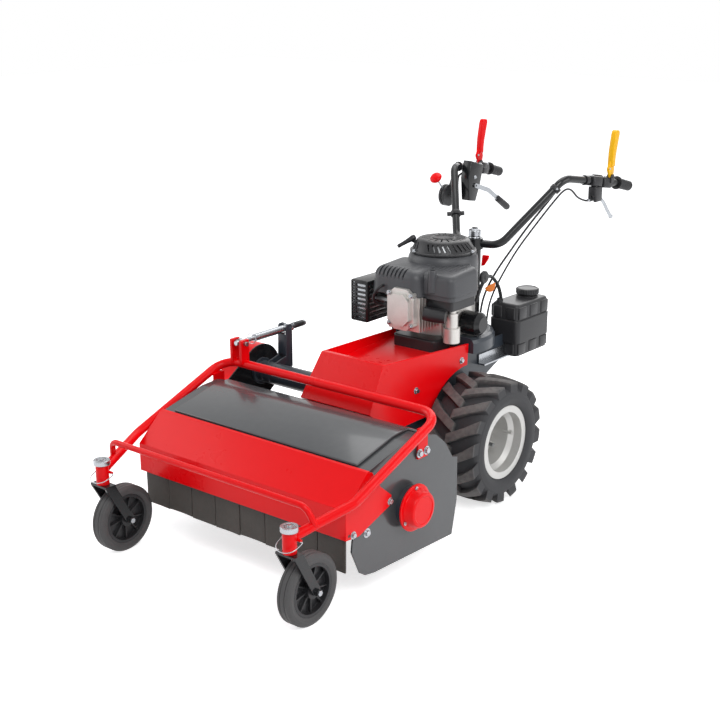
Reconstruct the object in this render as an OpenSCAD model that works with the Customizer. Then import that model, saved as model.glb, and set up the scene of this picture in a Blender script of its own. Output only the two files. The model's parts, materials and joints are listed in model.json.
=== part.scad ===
// Walk-behind two-wheel flail mower.
// Millimetres, +Z up, -Y towards the front deck, +X towards the operator's left.
// The origin lies on the ground, midway between the castor fronts and the grip ends.

/* [Rear wheels] */
// Outside diameter over the tread lugs
tyre_d = 408; // [400:2:416]
// Tyre section width
tyre_w = 190; // [184:2:194]
// Distance between the two wheel centres
track = 480; // [478:2:500]
// Height of the tread lugs
lug_h = 18; // [12:1:20]
// Lugs on each side of the tread
lug_count = 16; // [12:1:18]
// Bead seat diameter
bead_d = 203; // [198:1:208]
// Rim flange diameter
rim_flange_d = 239; // [232:1:246]
// Rim width over the flanges
rim_w = 168; // [160:2:176]
// Rim sheet thickness
rim_t = 4; // [3:0.5:5]
// Axle shaft diameter
axle_d = 30; // [25:1:35]
// Wheel stud circle
stud_pcd = 100; // [96:1:112]
// Wheel stud diameter
stud_d = 12; // [10:1:14]

/* [Castors] */
// Castor wheel diameter
castor_d = 200; // [190:2:204]
// Castor tyre width
castor_w = 46; // [40:1:50]
// How far the two castor stems together stand inside the cover's width
castor_inset = 77; // [67:2:87]
// Castor axle ahead of the front cover
castor_gap = 110.5; // [100.5:1:120.5]
// Castor axle behind its stem
castor_trail = 65; // [60:1:70]
// Castor stem diameter
stem_d = 25; // [20:1:28]
// Castor sleeve diameter
sleeve_d = 38; // [36:1:42]
// Flat bar of the castor fork
fork_t = 6; // [5:0.5:7]

/* [Deck] */
// Width of the front cover
deck_w = 800; // [780:2:806]
// Side plate thickness
plate_t = 5; // [4:0.5:6]
// Sheet thickness of panels and covers
sheet_t = 3; // [2:0.5:3.5]
// Rotor axis ahead of the rear axle
rotor_ahead = 605; // [600:1:610]
// Rotor axis above the ground
rotor_z = 213; // [210:1:220]
// Rotor tube diameter
rotor_d = 90; // [80:2:94]
// Rotor shaft diameter
shaft_d = 30; // [25:1:35]
// Flails in each row
flail_count = 8; // [6:1:9]
// Flail length from its pin to its tip
flail_l = 86; // [76:1:88]
// Flail pin diameter
flail_pin_d = 14; // [12:1:16]
// Strips in the rubber curtain
flap_count = 8; // [6:1:10]
// Thickness of the rubber curtain
flap_t = 5; // [4:0.5:6]

/* [Front frame] */
// Hoop tube diameter
hoop_d = 27; // [25:1:28]
// Middle of the hoop's side tubes outside the front cover
hoop_over = 20; // [19:0.5:23]
// Bumper bar diameter
bumper_d = 17; // [14:1:20]

/* [Belt drive] */
// Drive pulley diameter
drive_pulley_d = 140; // [120:2:146]
// Rotor pulley diameter
rotor_pulley_d = 100; // [90:2:120]
// Belt width
belt_w = 17; // [13:1:20]
// Belt thickness
belt_t = 11; // [8:1:12]
// Radius of the belt guard's ends
guard_r = 88; // [86:1:92]
// Cross tube diameter
cross_tube_d = 70; // [60:1:76]

/* [Bonnet and chassis] */
// Distance between the chassis plates' outer faces
chassis_w = 224; // [220:2:228]
// Chassis plate thickness
chassis_t = 6; // [5:0.5:8]
// Bonnet width along its top front edge
bonnet_front_w = 244; // [240:2:250]
// Bonnet width along its top rear edge
bonnet_rear_w = 300; // [290:2:306]
// Clutch housing diameter
clutch_d = 350; // [330:2:356]

/* [Engine and tank] */
// Crankshaft axis behind the rear axle
engine_y = 100; // [96:1:106]
// Engine flange above the ground
engine_z = 505; // [502:1:510]
// Recoil cover diameter at its base
recoil_d = 206; // [196:2:210]
// Height of the recoil cover
recoil_h = 60; // [54:1:64]
// Cooling fins on the cylinder
fin_count = 8; // [6:1:10]
// Fuel tank width
tank_w = 107; // [100:1:112]
// Fuel tank length
tank_l = 192; // [180:1:200]
// Fuel tank height
tank_h = 172; // [160:1:180]
// Fuel cap diameter
cap_d = 73; // [64:1:78]

/* [Handlebar] */
// Handlebar tube diameter
bar_d = 26; // [24:1:28]
// Grip diameter
grip_d = 34; // [32:1:38]
// Length of the hand grips
grip_l = 84; // [78:1:90]
// Hand lever length from its pivot to its tip
lever_l = 158; // [140:1:158]
// Hand lever thickness
lever_t = 7; // [5:0.5:8]
// Brake lever length
brake_l = 138; // [120:1:140]
// Gear lever length
gear_l = 244; // [220:2:250]

/* [Hidden] */
$fn = 48;

// Cuts run this far past the faces that they open
over = 1;
// Radial clearance of shafts and pins that turn
run_fit = 0.05;
// Clearance of bolts in their holes and of seated pieces
seat_gap = 0.3;
// Clearance beside pieces that swing between two cheeks
side_gap = 1;
// Sides of a bent tube's section
tube_sides = 14;
// Turn of one piece of a tube bend, in degrees
bend_step = 11;

// Front of the cover, from the rear axle, which the castors stand ahead of
cover_front_y = -879.5;
castor_ahead = castor_gap - cover_front_y;
castor_spread = deck_w - castor_inset;

// The rear axle lies this far behind the origin
grip_end_y = 838;
axle_y = (castor_ahead + castor_d / 2 - grip_end_y) / 2;

// Rear wheels
tyre_r = tyre_d / 2;
axle_z = tyre_r;
carcass_r = tyre_r - lug_h;
tread_drop = 9;
tyre_wall = 11;
sidewall_r_share = 0.62;
lug_inset = 2.5;
lug_bed_share = 0.66;
lug_root_share = 0.3;
lug_w = 30;
lug_sweep = 62;
lug_overlap = 10;
shoulder_power = 0.62;
arc_steps = 8;
bead_w = 17;
rim_well_drop = 14;
rim_well_shares = [0.36, 0.52];
disc_t = 5;
disc_inset = 104;
disc_bore_d = 62;
hub_flange_d = 136;
hub_flange_t = 10;
stud_out = 38;
stud_clear = 1;
nut_af = 19;
nut_h = 11;
valve_d = 11;
valve_l = 34;
axle_in = 34;
trumpet_d = 64;
trumpet_end_gap = 4;

// Castors
castor_z = castor_d / 2;
castor_y = -castor_ahead;
stem_y = castor_y - castor_trail;
castor_tread_t = 26;
castor_edge = 7;
castor_groove = 3;
castor_rim_r = castor_z - castor_tread_t;
castor_rim_t = 9;
castor_hub_d = 44;
castor_web_t = 5;
castor_ribs = 9;
castor_rib_t = 4;
castor_axle_d = 12;
castor_head_af = 19;
castor_head_h = 8;
fork_gap = 5;
fork_bar_w = 36;
fork_top_z = 226;
sleeve_bottom_z = fork_top_z + seat_gap;
sleeve_top_z = 286;
cap_washer_d = 47;
cap_washer_t = 4;
cap_bolt_d = 20;
cap_bolt_h = 9;
keeper_d = 8;
keeper_z = 262;
keeper_groove = 5;
keeper_out = 10;

// Deck places, as lengths along Y and Z from the rear axle and the ground
plate_x = deck_w / 2 - plate_t;
deck_front_y = -849;
deck_rear_y = -366;
deck_bottom_z = 48;
deck_top_z = 409;
side_plate_shares = [[0, 0.305], [0.008, 0.39], [0.128, 0.881], [0.476, 0.99], [0.613, 1], [0.776, 0.931],
  [0.870, 0.828], [0.946, 0.679], [0.998, 0.657], [1, 0.283], [0.954, 0], [0.2, 0.045], [0.115, 0.065],
  [0.07, 0.105]];
deck_top_shares = [[0.128, 0.881], [0.476, 0.99], [0.613, 1], [0.785, 0.9], [0.868, 0.7], [0.92, 0.45]];
panel_side_gap = 0;
cover_bottom_z = 204;
cover_kink_z = 288;
cover_lap = 8;
cover_flange_shares = [[0, 0], [0.28, -0.03], [0.98, 0.247], [1, 0.42], [0.755, 0.66], [0.57, 0.985],
  [0.475, 1], [0, 0.52]];
cover_flange_l = 194.5;
rotor_y = -rotor_ahead;
rotor_end_gap = 10;
rotor_l = deck_w - 2 * plate_t - 2 * rotor_end_gap;
rotor_disc_t = 8;
rotor_disc_d = 112;
ear_t = 6;
ear_w = 30;
flail_w = 20;
flail_t = 10;
flail_foot_w = 46;
flail_foot_h = 24;
flail_foot_t = 14;
flail_eye_d = 26;
pin_r = rotor_d / 2 + 20;
flap_rod_d = 10;
flap_eye_d = 18;
flap_run = 2;
flap_y = cover_front_y + sheet_t + flap_eye_d / 2 + flap_run;
flap_z = 214;
flap_bottom_z = 100;
flap_slit = 1.2;
bearing_d = 112;
bearing_h = 22;
shaft_hole_d = 62;
cover_flange_d = 136;
cover_flange_t = 4;
cover_cap_d = 84;
cover_lip = 6;

// Front frame
hoop_x = deck_w / 2 + hoop_over;
hoop_kink_back = 187;
hoop_kink = [hoop_x, stem_y + hoop_kink_back, 313];
hoop_corner = [hoop_x, -492, 455];
hoop_bend_r = 62;
hoop_kink_r = 90;
bumper_foot_off = [29.5, 67, 284];
bumper_corner_off = [10.5, 51, 338];
bumper_foot = [castor_spread / 2, stem_y, 0] + bumper_foot_off;
bumper_corner = [castor_spread / 2, stem_y, 0] + bumper_corner_off;
bumper_bend_r = 30;
lug_plate_y = -544;
lug_plate_w = 44;
lug_plate_z = 338;
post_gap = 30;
post_t = 10;
post_w = 34;
post_h = 78;
strut_inset = 46;
strut_x = strut_inset - deck_w / 2;
strut_z = 522;
strut_d = 14;
strut_sleeve_d = 24;
strut_front_y = -508;
strut_sleeve_y = [-425, -292];
strut_cap_y = [-246, -188];
strut_cap_d = 20;
clevis_y = -270;
clevis_gap = 20;
clevis_t = 5;
clevis_pin_d = 10;
arm_w = 34;

// Belt drive
cross_y = -345;
cross_z = 385;
guard_w = 58;
guard_plate_t = 4;
guard_off = 2;
guard_x = deck_w / 2 + guard_off;
cover_cap_h = guard_x + guard_w - plate_x - bearing_h;
pulley_w = 26;
pulley_x = guard_x + guard_plate_t + 14;
drive_shaft_d = 25;
cross_in_x = chassis_w / 2;

// Bonnet and chassis
bonnet_t = 2;
bonnet_front_y = -454;
bonnet_front_z = 377;
bonnet_top_y = -368;
bonnet_top_z = 509;
bonnet_rear_y = 40;
bonnet_rear_z = 489;
bonnet_low_w = 274;
bonnet_low_z = 296;
bonnet_low_y = -330;
bonnet_tail_w = 282;
arch_y = 36;
bonnet_bolts = [[4, 440], [-230, 398]];
bonnet_bolt_d = 12;
arch_r = tyre_r + 3;
arch_z = axle_z + 6;
chassis_rear_y = 306;
case_r = 92;
neck_w = 150;
neck_top_z = 456;
chassis_top_z = neck_top_z;
clutch_cut_y = bonnet_rear_y + 3;
clutch_round = 16;

// Engine
case_d = 214;
barrel_w = 96;
barrel_y = [-108, 0];
barrel_z = 612;
fin_w = 122;
fin_h = 142;
fin_t = 3;
filler_d = 40;
filler_at = [128, -26];
filler_h = 96;
valve_w = 104;
valve_h = 134;
valve_depth = 20;
valve_raise = 13;
valve_chamfer_share = 0.26;
valve_raise_share = 0.76;
valve_bolt_d = 9;
shroud_z = [650, 744];
case_h = shroud_z[0] - engine_z;
shroud_x = [-128, 58];
shroud_y = -116;
shroud_round = 34;
shroud_drop = 30;
shroud_tiers = 4;
shroud_inset_share = 0.35;
shroud_wall = 12;
louvre_count = 7;
louvre_w = 5;
louvre_l = 62;
louvre_depth = 5;
recoil_top_d = 162;
recoil_wall = 3;
recoil_lip = 8;
recoil_slots = 20;
recoil_slot_w = 8;
recoil_slot_tilt = 32;
grip_bar_d = 13;
grip_bar_l = 64;
grip_neck_d = 16;
recoil_port = [-92, 26, 778];
recoil_port_l = 36;
filter_x = [40, 165];
filter_y = [-78, 72];
filter_z = [652, 736];
filter_round = 20;
filter_lean = 10;
base_inset = 8;
base_h = 36;
duct_d = 44;
duct_from = [70, -96, 604];
duct_to = [136, -70, 597];
carb_z = 580;
carb_size = [38, 44, filter_z[0] - base_h - carb_z];
carb_at = [fin_w / 2, -38, carb_z];
oil_filter_d = 76;
oil_filter_x = [case_d / 2 + seat_gap, 176];
oil_filter_at = [82, 546];
muffler_x = [-212, -142];
muffler_y = [-118, 48];
muffler_z = [540, 678];
guard_wall = 2;
guard_air = 5;
guard_slots = 9;
guard_slot_share = 0.55;
pipe_d = 34;
lead_d = 9;
lead_route = [[-78, -116.3, 676], [-80, -126, 674], [-88, -134, 664], [-98, -137, 648], [-104, -132, 630],
  [-106, -118, 616], [-102, -102, 608], [-92, -92, 606], [-80, -88, 606]];
boot_d = 20;

// Tank
tank_at = [58, 308, 390];
tank_round = 16;
tank_rib = 3;
tank_rib_h = 9;
tank_band_share = 0.42;
tank_ribs = 4;
neck_d = 56;
neck_h = 8;
cap_h = 20;
bracket_t = 5;
bracket_x = [70, 140];
bracket_front_y = 150;
hose_d = 10;
hose_route = [[84, 326, 562], [83, 320, 588], [84, 304, 618], [88, 274, 646], [94, 242, 664], [102, 208,
    670],
  [111, 176, 664], [117, 150, 648], [118, 134, 626], [116, 124, 604]];

// Handlebar
post_y = 280;
post_d = 45;
post_foot_z = 436;
head_z = 740;
head_d = 58;
head_h = 36;
pivot_d = 20;
knob_post_d = 40;
knob_post_h = 28;
bar_start = [18, 284, 758];
bar_low = [87, 301, 758];
bar_top = [223, 471, 973];
bar_flange = [264, 754, 928];
grip_tip = 6.3;
bar_end = [270, grip_end_y - grip_tip, 908];
bar_low_r = 60;
bar_top_r = 52;
grip_flange_d = 46;
grip_flange_t = 6;
lever_x = 270;
lever_pivot = [700, 955];
lever_w = 20;
lever_tip_w = 28;
lever_pin_d = 8;
bracket_w = 34;
bracket_l = 46;
brake_pivot = [628, 896];
brake_x = 254;
brake_t = 6;
brake_w = 14;
brake_ball_d = 16;
brake_droop = 34;
selector_x = [-214, -180];
selector_at = [512, 842];
selector_size = [82, 148];
selector_shares = [[0.08, 0], [0.0, 0.16], [0.02, 1], [1, 0.82], [0.76, 0.2], [0.4, -0.02]];
gear_pivot = [540, 900];
gear_t = 5;
gear_w = 16;
gear_droop = 26;
gear_grip_d = 22;
gear_grip_l = 78;
throttle_x = -250;
throttle_pivot = [470, 868];
throttle_r = 38;
throttle_w = 22;
throttle_t = 3;
throttle_l = 98;
throttle_arm_w = 8;
throttle_knob_d = 24;
throttle_knob_w = 15;
clamp_l = 16;
clamp_d = 34;
cable_d = 7;
left_cable = [[-252.7, 676.3, 923], [-246, 630, 926.5], [-240.5, 590, 933], [-235.5, 555, 938.5], [-231,
    525, 938],
  [-227, 503, 926], [-205, 470, 880], [-170, 425, 820], [-125, 372, 740], [-90, 330, 650], [-65, 300, 560],
  [-54, 284, 490], [-52, 280, 437]];
right_cable = [[235.5, 676.3, 940], [226, 640, 943], [220.5, 600, 950], [215.5, 560, 955], [210, 525, 957],
  [202, 495, 950], [175, 455, 895], [135, 400, 815], [100, 350, 735], [70, 305, 660], [50, 275, 590],
      [42, 263, 520],
  [42, 262, 437]];

// Smooth curve through the points of a route, in steps between each two
function smooth(p, steps) = let (
    n = len(p),
    ends = concat([2 * p[0] - p[1]], p, [2 * p[n - 1] - p[n - 2]]))
  concat([for (i = [1:n - 1], k = [0:steps - 1]) let (
      t = k / steps,
      a = ends[i - 1],
      b = ends[i],
      c = ends[i + 1],
      d = ends[i + 2])
    (2 * b + (c - a) * t + (2 * a - 5 * b + 4 * c - d) * t * t + (3 * b - a - 3 * c + d) * t * t * t) / 2],
    [p[n - 1]]);

// Unit vector along v
function unit(v) = v / norm(v);
// Vector in the plane turned a quarter left
function left_of(v) = [-v[1], v[0]];
// Corner offset of a folded sheet, for one unit of thickness
function mitre(p, i) = let (n = len(p) - 1,
    a = left_of(unit(p[max(i, 1)] - p[max(i, 1) - 1])),
    b = left_of(unit(p[min(i, n - 1) + 1] - p[min(i, n - 1)])))
  (a + b) / (1 + a * b);
// Closed outline of a sheet of thickness t folded along p
function sheet(p, t) = concat(p, [for (i = [len(p) - 1:-1:0]) p[i] - t * mitre(p, i)]);
// Outline from shares of a size, measured from a corner
function place(shares, corner, size) =
  [for (s = shares) [corner[0] + s[0] * size[0], corner[1] + s[1] * size[1]]];
// Point mirrored to the other side of the machine
function other(p) = [-p[0], p[1], p[2]];

// Outline in the plane of Y and Z, given its thickness along X
module across(x0, x1) {
  translate([x0, 0, 0]) rotate([90, 0, 90]) linear_extrude(x1 - x0) children();
}

// Everything is drawn around the rear axle and set to its place
module placed() {
  translate([0, axle_y, 0]) children();
}

// Round bar between two points
module rod(p, q, d) {
  v = q - p;
  translate(p) rotate([0, acos(v[2] / norm(v)), atan2(v[1], v[0])]) cylinder(h = norm(v), d = d);
}

// Hexagon between two points
module hex(p, q, af) {
  v = q - p;
  translate(p) rotate([0, acos(v[2] / norm(v)), atan2(v[1], v[0])])
    cylinder(h = norm(v), d = af / cos(30), $fn = 6);
}

// Corner points of a path replaced by points along their bends
function bend_points(p, bend_r) = let (n = len(p) - 1) [for (i = [0:n]) each
  i == 0 || i == n ? [p[i]] : let (
    a = unit(p[i] - p[i - 1]),
    b = unit(p[i + 1] - p[i]),
    turn = acos(a * b),
    c = p[i] + unit(b - a) * bend_r[i] / cos(turn / 2),
    x = unit(p[i] - a * bend_r[i] * tan(turn / 2) - c),
    steps = ceil(turn / bend_step))
  [for (k = [0:steps]) c + bend_r[i] * (cos(turn * k / steps) * x + sin(turn * k / steps) * a)]];

// Round bar swept along points, its section carried round without twist
module cord(p, d, sides = 8) {
  n = len(p);
  dir = [for (i = [0:n - 1]) unit(p[min(i + 1, n - 1)] - p[max(i - 1, 0)])];
  first = unit(cross(dir[0], abs(dir[0][2]) < abs(dir[0][0]) ? [0, 0, 1] : [1, 0, 0]));
  u = [for (i = 0, v = first; i < n; i = i + 1, v = unit(v - dir[min(i, n - 1)] * (v * dir[min(i,
      n - 1)]))) v];
  pts = [for (i = [0:n - 1], k = [0:sides - 1]) let (a = 360 * k / sides)
    p[i] + d / 2 * (cos(a) * u[i] + sin(a) * cross(dir[i], u[i]))];
  side = [for (i = [0:n - 2], k = [0:sides - 1]) let (m = (k + 1) % sides)
    [i * sides + k, (i + 1) * sides + k, (i + 1) * sides + m, i * sides + m]];
  polyhedron(pts, concat([[for (k = [0:sides - 1]) k]], side,
    [[for (k = [sides - 1:-1:0]) (n - 1) * sides + k]]));
}

// Bent tube through corner points, each corner with its own bend radius
module bent_tube(p, bend_r, d) {
  cord(bend_points(p, bend_r), d, tube_sides);
}

// Solid through outlines of equal count, from the lowest to the highest
module stack(rings) {
  n = len(rings[0]);
  m = len(rings);
  side = [for (j = [0:m - 2], i = [0:n - 1]) let (k = (i + 1) % n)
    [j * n + i, (j + 1) * n + i, (j + 1) * n + k, j * n + k]];
  polyhedron([for (r = rings) each r], concat([[for (i = [0:n - 1]) i]], side,
    [[for (i = [n - 1:-1:0]) (m - 1) * n + i]]));
}

// Solid between two outlines of equal count, one at each side of the machine
module loft(left, right) {
  n = len(left);
  side = [for (i = [0:n - 1]) let (m = (i + 1) % n) [i, m, n + m, n + i]];
  polyhedron(concat(left, right), concat([[for (i = [n - 1:-1:0]) i]], side, [[for (i = [0:n - 1])
      n + i]]));
}

// Outline round two circles and the belt line between them
module belt_loop(c1, r1, c2, r2) {
  v = c2 - c1;
  lean = acos((r1 - r2) / norm(v));
  base = atan2(v[1], v[0]);
  at = function (c, r, s) c + r * [cos(base + s * lean), sin(base + s * lean)];
  translate(c1) circle(r1);
  translate(c2) circle(r2);
  polygon([at(c1, r1, 1), at(c1, r1, -1), at(c2, r2, -1), at(c2, r2, 1)]);
}

// Rectangle with round corners
module round_rect(size, r) {
  translate([r, 0]) square([size[0] - 2 * r, size[1]]);
  translate([0, r]) square([size[0], size[1] - 2 * r]);
  for (x = [r, size[0] - r], y = [r, size[1] - r]) translate([x, y]) circle(r);
}

// Wheel pieces are drawn about Z with the outer side up, then laid on the axle
module on_axle(side) {
  placed() mirror([side < 0 ? 1 : 0, 0, 0]) translate([track / 2, 0, axle_z]) rotate([0, 90, 0]) children();
}

// Tyre section of the carcass, rounded at the shoulders
function carcass_outline() = let (
    bead_r = bead_d / 2,
    flange_r = rim_flange_d / 2 + seat_gap,
    bead_z = rim_w / 2 - rim_t - seat_gap,
    mid_r = flange_r + (carcass_r - flange_r) * (1 - sidewall_r_share),
    half = tyre_w / 2,
    low = [for (i = [0:arc_steps]) let (a = 90 - 90 * i / arc_steps)
      [mid_r - (mid_r - flange_r) * sin(a), half - (half - bead_z) * (1 - cos(a))]],
    high = [for (i = [1:arc_steps]) let (a = 90 * i / arc_steps)
      [mid_r + (carcass_r - mid_r) * pow(sin(a), shoulder_power), half * pow(cos(a), shoulder_power)]],
    upper = concat([[bead_r + seat_gap, bead_z - bead_w], [bead_r + seat_gap, bead_z]], low, high),
    inner = [[carcass_r - tyre_wall, 0], [carcass_r - tyre_wall, half * (1 - lug_root_share)],
      [mid_r, half - tyre_wall], [bead_r + seat_gap + tyre_wall, bead_z - bead_w]])
  concat(upper, [for (i = [len(upper) - 2:-1:0]) [upper[i][0], -upper[i][1]]],
    [for (i = [len(inner) - 1:-1:0]) [inner[i][0], -inner[i][1]]], [for (i = [1:len(inner) - 1]) inner[i]]);

// Slanted bar of the tread, from past the middle to the shoulder
module tread_lug() {
  root = carcass_r - lug_h;
  half = tyre_w / 2;
  translate([root - lug_h, 0, 0]) rotate([90, 0, 90]) linear_extrude(tyre_r - root + lug_h + over)
    polygon([[lug_sweep / 2 - lug_w / 2, -lug_overlap], [lug_sweep / 2 + lug_w / 2, -lug_overlap],
      [0 + lug_w / 2, half / 2], [-lug_sweep / 2 + lug_w * 2 / 3, half + over],
      [-lug_sweep / 2 - lug_w * 2 / 3, half + over], [0 - lug_w / 2, half / 2]]);
}

// Band that the lugs are cut from, crowned across the tread
module tread_band() {
  half = tyre_w / 2 - lug_inset;
  root = carcass_r - 2 * lug_h;
  crown = [for (i = [-arc_steps:arc_steps]) let (s = i / arc_steps) [tyre_r - tread_drop * s * s,
      half * s]];
  rotate_extrude($fn = 96) polygon(concat(crown, [[root, half], [root, -half]]));
}

// Space inside the middle of the carcass wall, where no lug reaches
module lug_bed() {
  high = carcass_r - tyre_wall / 2;
  low = carcass_r - 2 * lug_h;
  edge = tyre_w / 2 * lug_bed_share;
  shoulder = tyre_w / 2 - tyre_wall / 2;
  rotate_extrude($fn = 96) polygon([[0, -tyre_w], [low + over, -tyre_w], [low + over, -shoulder], [high,
      -edge],
    [high, edge], [low + over, shoulder], [low + over, tyre_w], [0, tyre_w]]);
}

module tyre(side) {
  pitch = 360 / lug_count;
  color("#3b3c3f") on_axle(side) {
    rotate_extrude($fn = 96) polygon(carcass_outline());
    intersection() {
      difference() {
        tread_band();
        lug_bed();
      }
      for (k = [0:lug_count - 1]) {
        rotate(k * pitch) tread_lug();
        rotate((k + 1 / 2) * pitch) mirror([0, 0, 1]) tread_lug();
      }
    }
  }
}
module tyre_left() { tyre(1); }
module tyre_right() { tyre(-1); }

// Stepped barrel with flanges, and the disc deep inside it
module rim(side) {
  half = rim_w / 2;
  bead_r = bead_d / 2;
  well_r = bead_r - rim_well_drop;
  z1 = half * (1 - rim_well_shares[0]);
  z2 = half * (1 - rim_well_shares[1]);
  flange_r = rim_flange_d / 2;
  seat = half - rim_t;
  outer = [[flange_r, half], [flange_r, seat], [bead_r, seat], [bead_r, z1], [well_r, z2]];
  inner = [[well_r - rim_t, z2], [bead_r - rim_t, z1], [bead_r - rim_t, half]];
  disc_z = half - disc_inset;
  color("#c9ccd0") on_axle(side) {
    rotate_extrude($fn = 96) polygon(concat(outer, [for (i = [4:-1:0]) [outer[i][0], -outer[i][1]]],
      [for (i = [2:-1:0]) [inner[i][0], -inner[i][1]]], inner));
    difference() {
      translate([0, 0, disc_z]) cylinder(r = well_r - rim_t / 2, h = disc_t, $fn = 96);
      translate([0, 0, disc_z - over]) cylinder(d = disc_bore_d, h = disc_t + 2 * over);
      for (k = [0:3]) rotate(45 + 90 * k) translate([stud_pcd / 2, 0, disc_z - over])
        cylinder(d = stud_d + 2 * stud_clear, h = disc_t + 2 * over);
    }
    rotate(90) translate([bead_r - rim_t - valve_d, 0, z1 - valve_l]) cylinder(d = valve_d, h = valve_l);
    rotate(90) translate([bead_r - rim_t - valve_d, -valve_d / 2, z1 - valve_l])
      cube([valve_d + rim_t / 2, valve_d, rim_t]);
  }
}
module rim_left() { rim(1); }
module rim_right() { rim(-1); }

// Axle shaft with its hub flange, studs and nuts
module axle(side) {
  disc_z = rim_w / 2 - disc_inset;
  color("#8d9094") on_axle(side) {
    translate([0, 0, axle_in - track / 2]) cylinder(d = axle_d, h = disc_z + track / 2 - axle_in);
    translate([0, 0, disc_z - hub_flange_t]) cylinder(d = hub_flange_d, h = hub_flange_t);
    for (k = [0:3]) rotate(45 + 90 * k) translate([stud_pcd / 2, 0, disc_z - over]) {
      cylinder(d = stud_d, h = over + stud_out);
      translate([0, 0, over + disc_t]) cylinder(d = nut_af / cos(30), h = nut_h, $fn = 6);
    }
  }
}
module axle_left() { axle(1); }
module axle_right() { axle(-1); }

// Castor pieces stand at their stem, on the left or the right
module at_castor(side) {
  placed() mirror([side < 0 ? 1 : 0, 0, 0]) translate([castor_spread / 2, stem_y, 0]) children();
}
module on_castor_axle(side) {
  at_castor(side) translate([0, castor_trail, castor_z]) rotate([0, 90, 0]) children();
}

module castor_tyre(side) {
  half = castor_w / 2;
  third = castor_w / 6;
  color("#47494d") on_castor_axle(side) rotate_extrude($fn = 72)
    polygon([[castor_rim_r + seat_gap, -half + castor_edge / 2], [castor_z - castor_edge * 2, -half],
      [castor_z - castor_edge, -half + castor_edge / 4], [castor_z, -half + castor_edge],
      [castor_z, -third - castor_groove / 2], [castor_z - castor_groove, -third],
      [castor_z, -third + castor_groove / 2], [castor_z, third - castor_groove / 2],
      [castor_z - castor_groove, third], [castor_z, third + castor_groove / 2], [castor_z,
          half - castor_edge],
      [castor_z - castor_edge, half - castor_edge / 4], [castor_z - castor_edge * 2, half],
      [castor_rim_r + seat_gap, half - castor_edge / 2]]);
}
module castor_tyre_left() { castor_tyre(1); }
module castor_tyre_right() { castor_tyre(-1); }

module castor_rim(side) {
  half = castor_w / 2;
  ring_in = castor_rim_r - castor_rim_t;
  color("#26272a") on_castor_axle(side) difference() {
    union() {
      difference() {
        translate([0, 0, castor_edge / 2 - half]) cylinder(r = castor_rim_r, h = castor_w - castor_edge,
            $fn = 72);
        translate([0, 0, -castor_w]) cylinder(r = ring_in, h = 2 * castor_w, $fn = 72);
      }
      translate([0, 0, -half]) cylinder(d = castor_hub_d, h = castor_w);
      translate([0, 0, -castor_web_t / 2]) cylinder(r = ring_in + castor_rim_t / 2, h = castor_web_t);
      for (k = [0:castor_ribs - 1]) rotate(360 * k / castor_ribs)
        translate([castor_hub_d / 3, -castor_rib_t / 2, -half / 2])
          cube([ring_in + castor_rim_t / 2 - castor_hub_d / 3, castor_rib_t, half]);
    }
    translate([0, 0, -castor_w]) cylinder(d = castor_axle_d + 2 * run_fit, h = 2 * castor_w);
  }
}
module castor_rim_left() { castor_rim(1); }
module castor_rim_right() { castor_rim(-1); }

// Fork bent from flat bar, with its stem, cap and axle bolt
module castor_fork(side) {
  in_x = castor_w / 2 + fork_gap;
  out_x = in_x + fork_t;
  half = fork_bar_w / 2;
  leg = [[-half, fork_top_z - fork_t], [-half, fork_top_z], [half, fork_top_z], [half, fork_top_z - fork_t],
    [castor_trail + half * 2 / 3, castor_z + half / 3], [castor_trail - half * 2 / 3, castor_z - half / 3]];
  color("#2b2c30") at_castor(side) {
    for (s = [-1, 1]) across(s > 0 ? in_x : -out_x, s > 0 ? out_x : -in_x) {
      polygon(leg);
      translate([castor_trail, castor_z]) circle(half * 2 / 3);
    }
    translate([-out_x, -half, fork_top_z - fork_t]) cube([2 * out_x, fork_bar_w, fork_t]);
    difference() {
      translate([0, 0, fork_top_z - fork_t]) cylinder(d = stem_d,
          h = sleeve_top_z - fork_top_z + fork_t + seat_gap);
      translate([0, 0, keeper_z - keeper_d / 2 - seat_gap]) difference() {
        cylinder(d = stem_d + over, h = keeper_d + 2 * seat_gap);
        translate([0, 0, -over]) cylinder(d = stem_d - 2 * keeper_groove,
            h = keeper_d + 2 * over + 2 * seat_gap);
      }
    }
    translate([0, 0, sleeve_top_z + seat_gap]) {
      cylinder(d = cap_washer_d, h = cap_washer_t);
      cylinder(d = cap_bolt_d / cos(30), h = cap_washer_t + cap_bolt_h, $fn = 6);
    }
    rod([-out_x, castor_trail, castor_z], [out_x, castor_trail, castor_z], castor_axle_d);
    hex([out_x, castor_trail, castor_z], [out_x + castor_head_h, castor_trail, castor_z], castor_head_af);
    hex([-out_x - castor_head_h, castor_trail, castor_z], [-out_x, castor_trail, castor_z], castor_head_af);
  }
}
module castor_fork_left() { castor_fork(1); }
module castor_fork_right() { castor_fork(-1); }

// Deck plates
function deck_size() = [deck_rear_y - deck_front_y, deck_top_z - deck_bottom_z];
function deck_corner() = [deck_front_y, deck_bottom_z];
module side_plate(side) {
  x0 = side > 0 ? plate_x - plate_t : -plate_x;
  color("#6f7378") placed() difference() {
    across(x0, x0 + plate_t) polygon(place(side_plate_shares, deck_corner(), deck_size()));
    rod([x0 - over, rotor_y, rotor_z], [x0 + plate_t + over, rotor_y, rotor_z], shaft_hole_d);
  }
}
module side_plate_left() { side_plate(1); }
module side_plate_right() { side_plate(-1); }

function deck_line() = place(deck_top_shares, deck_corner(), deck_size());
module deck_top() {
  half = plate_x - plate_t - panel_side_gap;
  color("#54575c") placed() across(-half, half) polygon(sheet(deck_line(), sheet_t));
}

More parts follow.
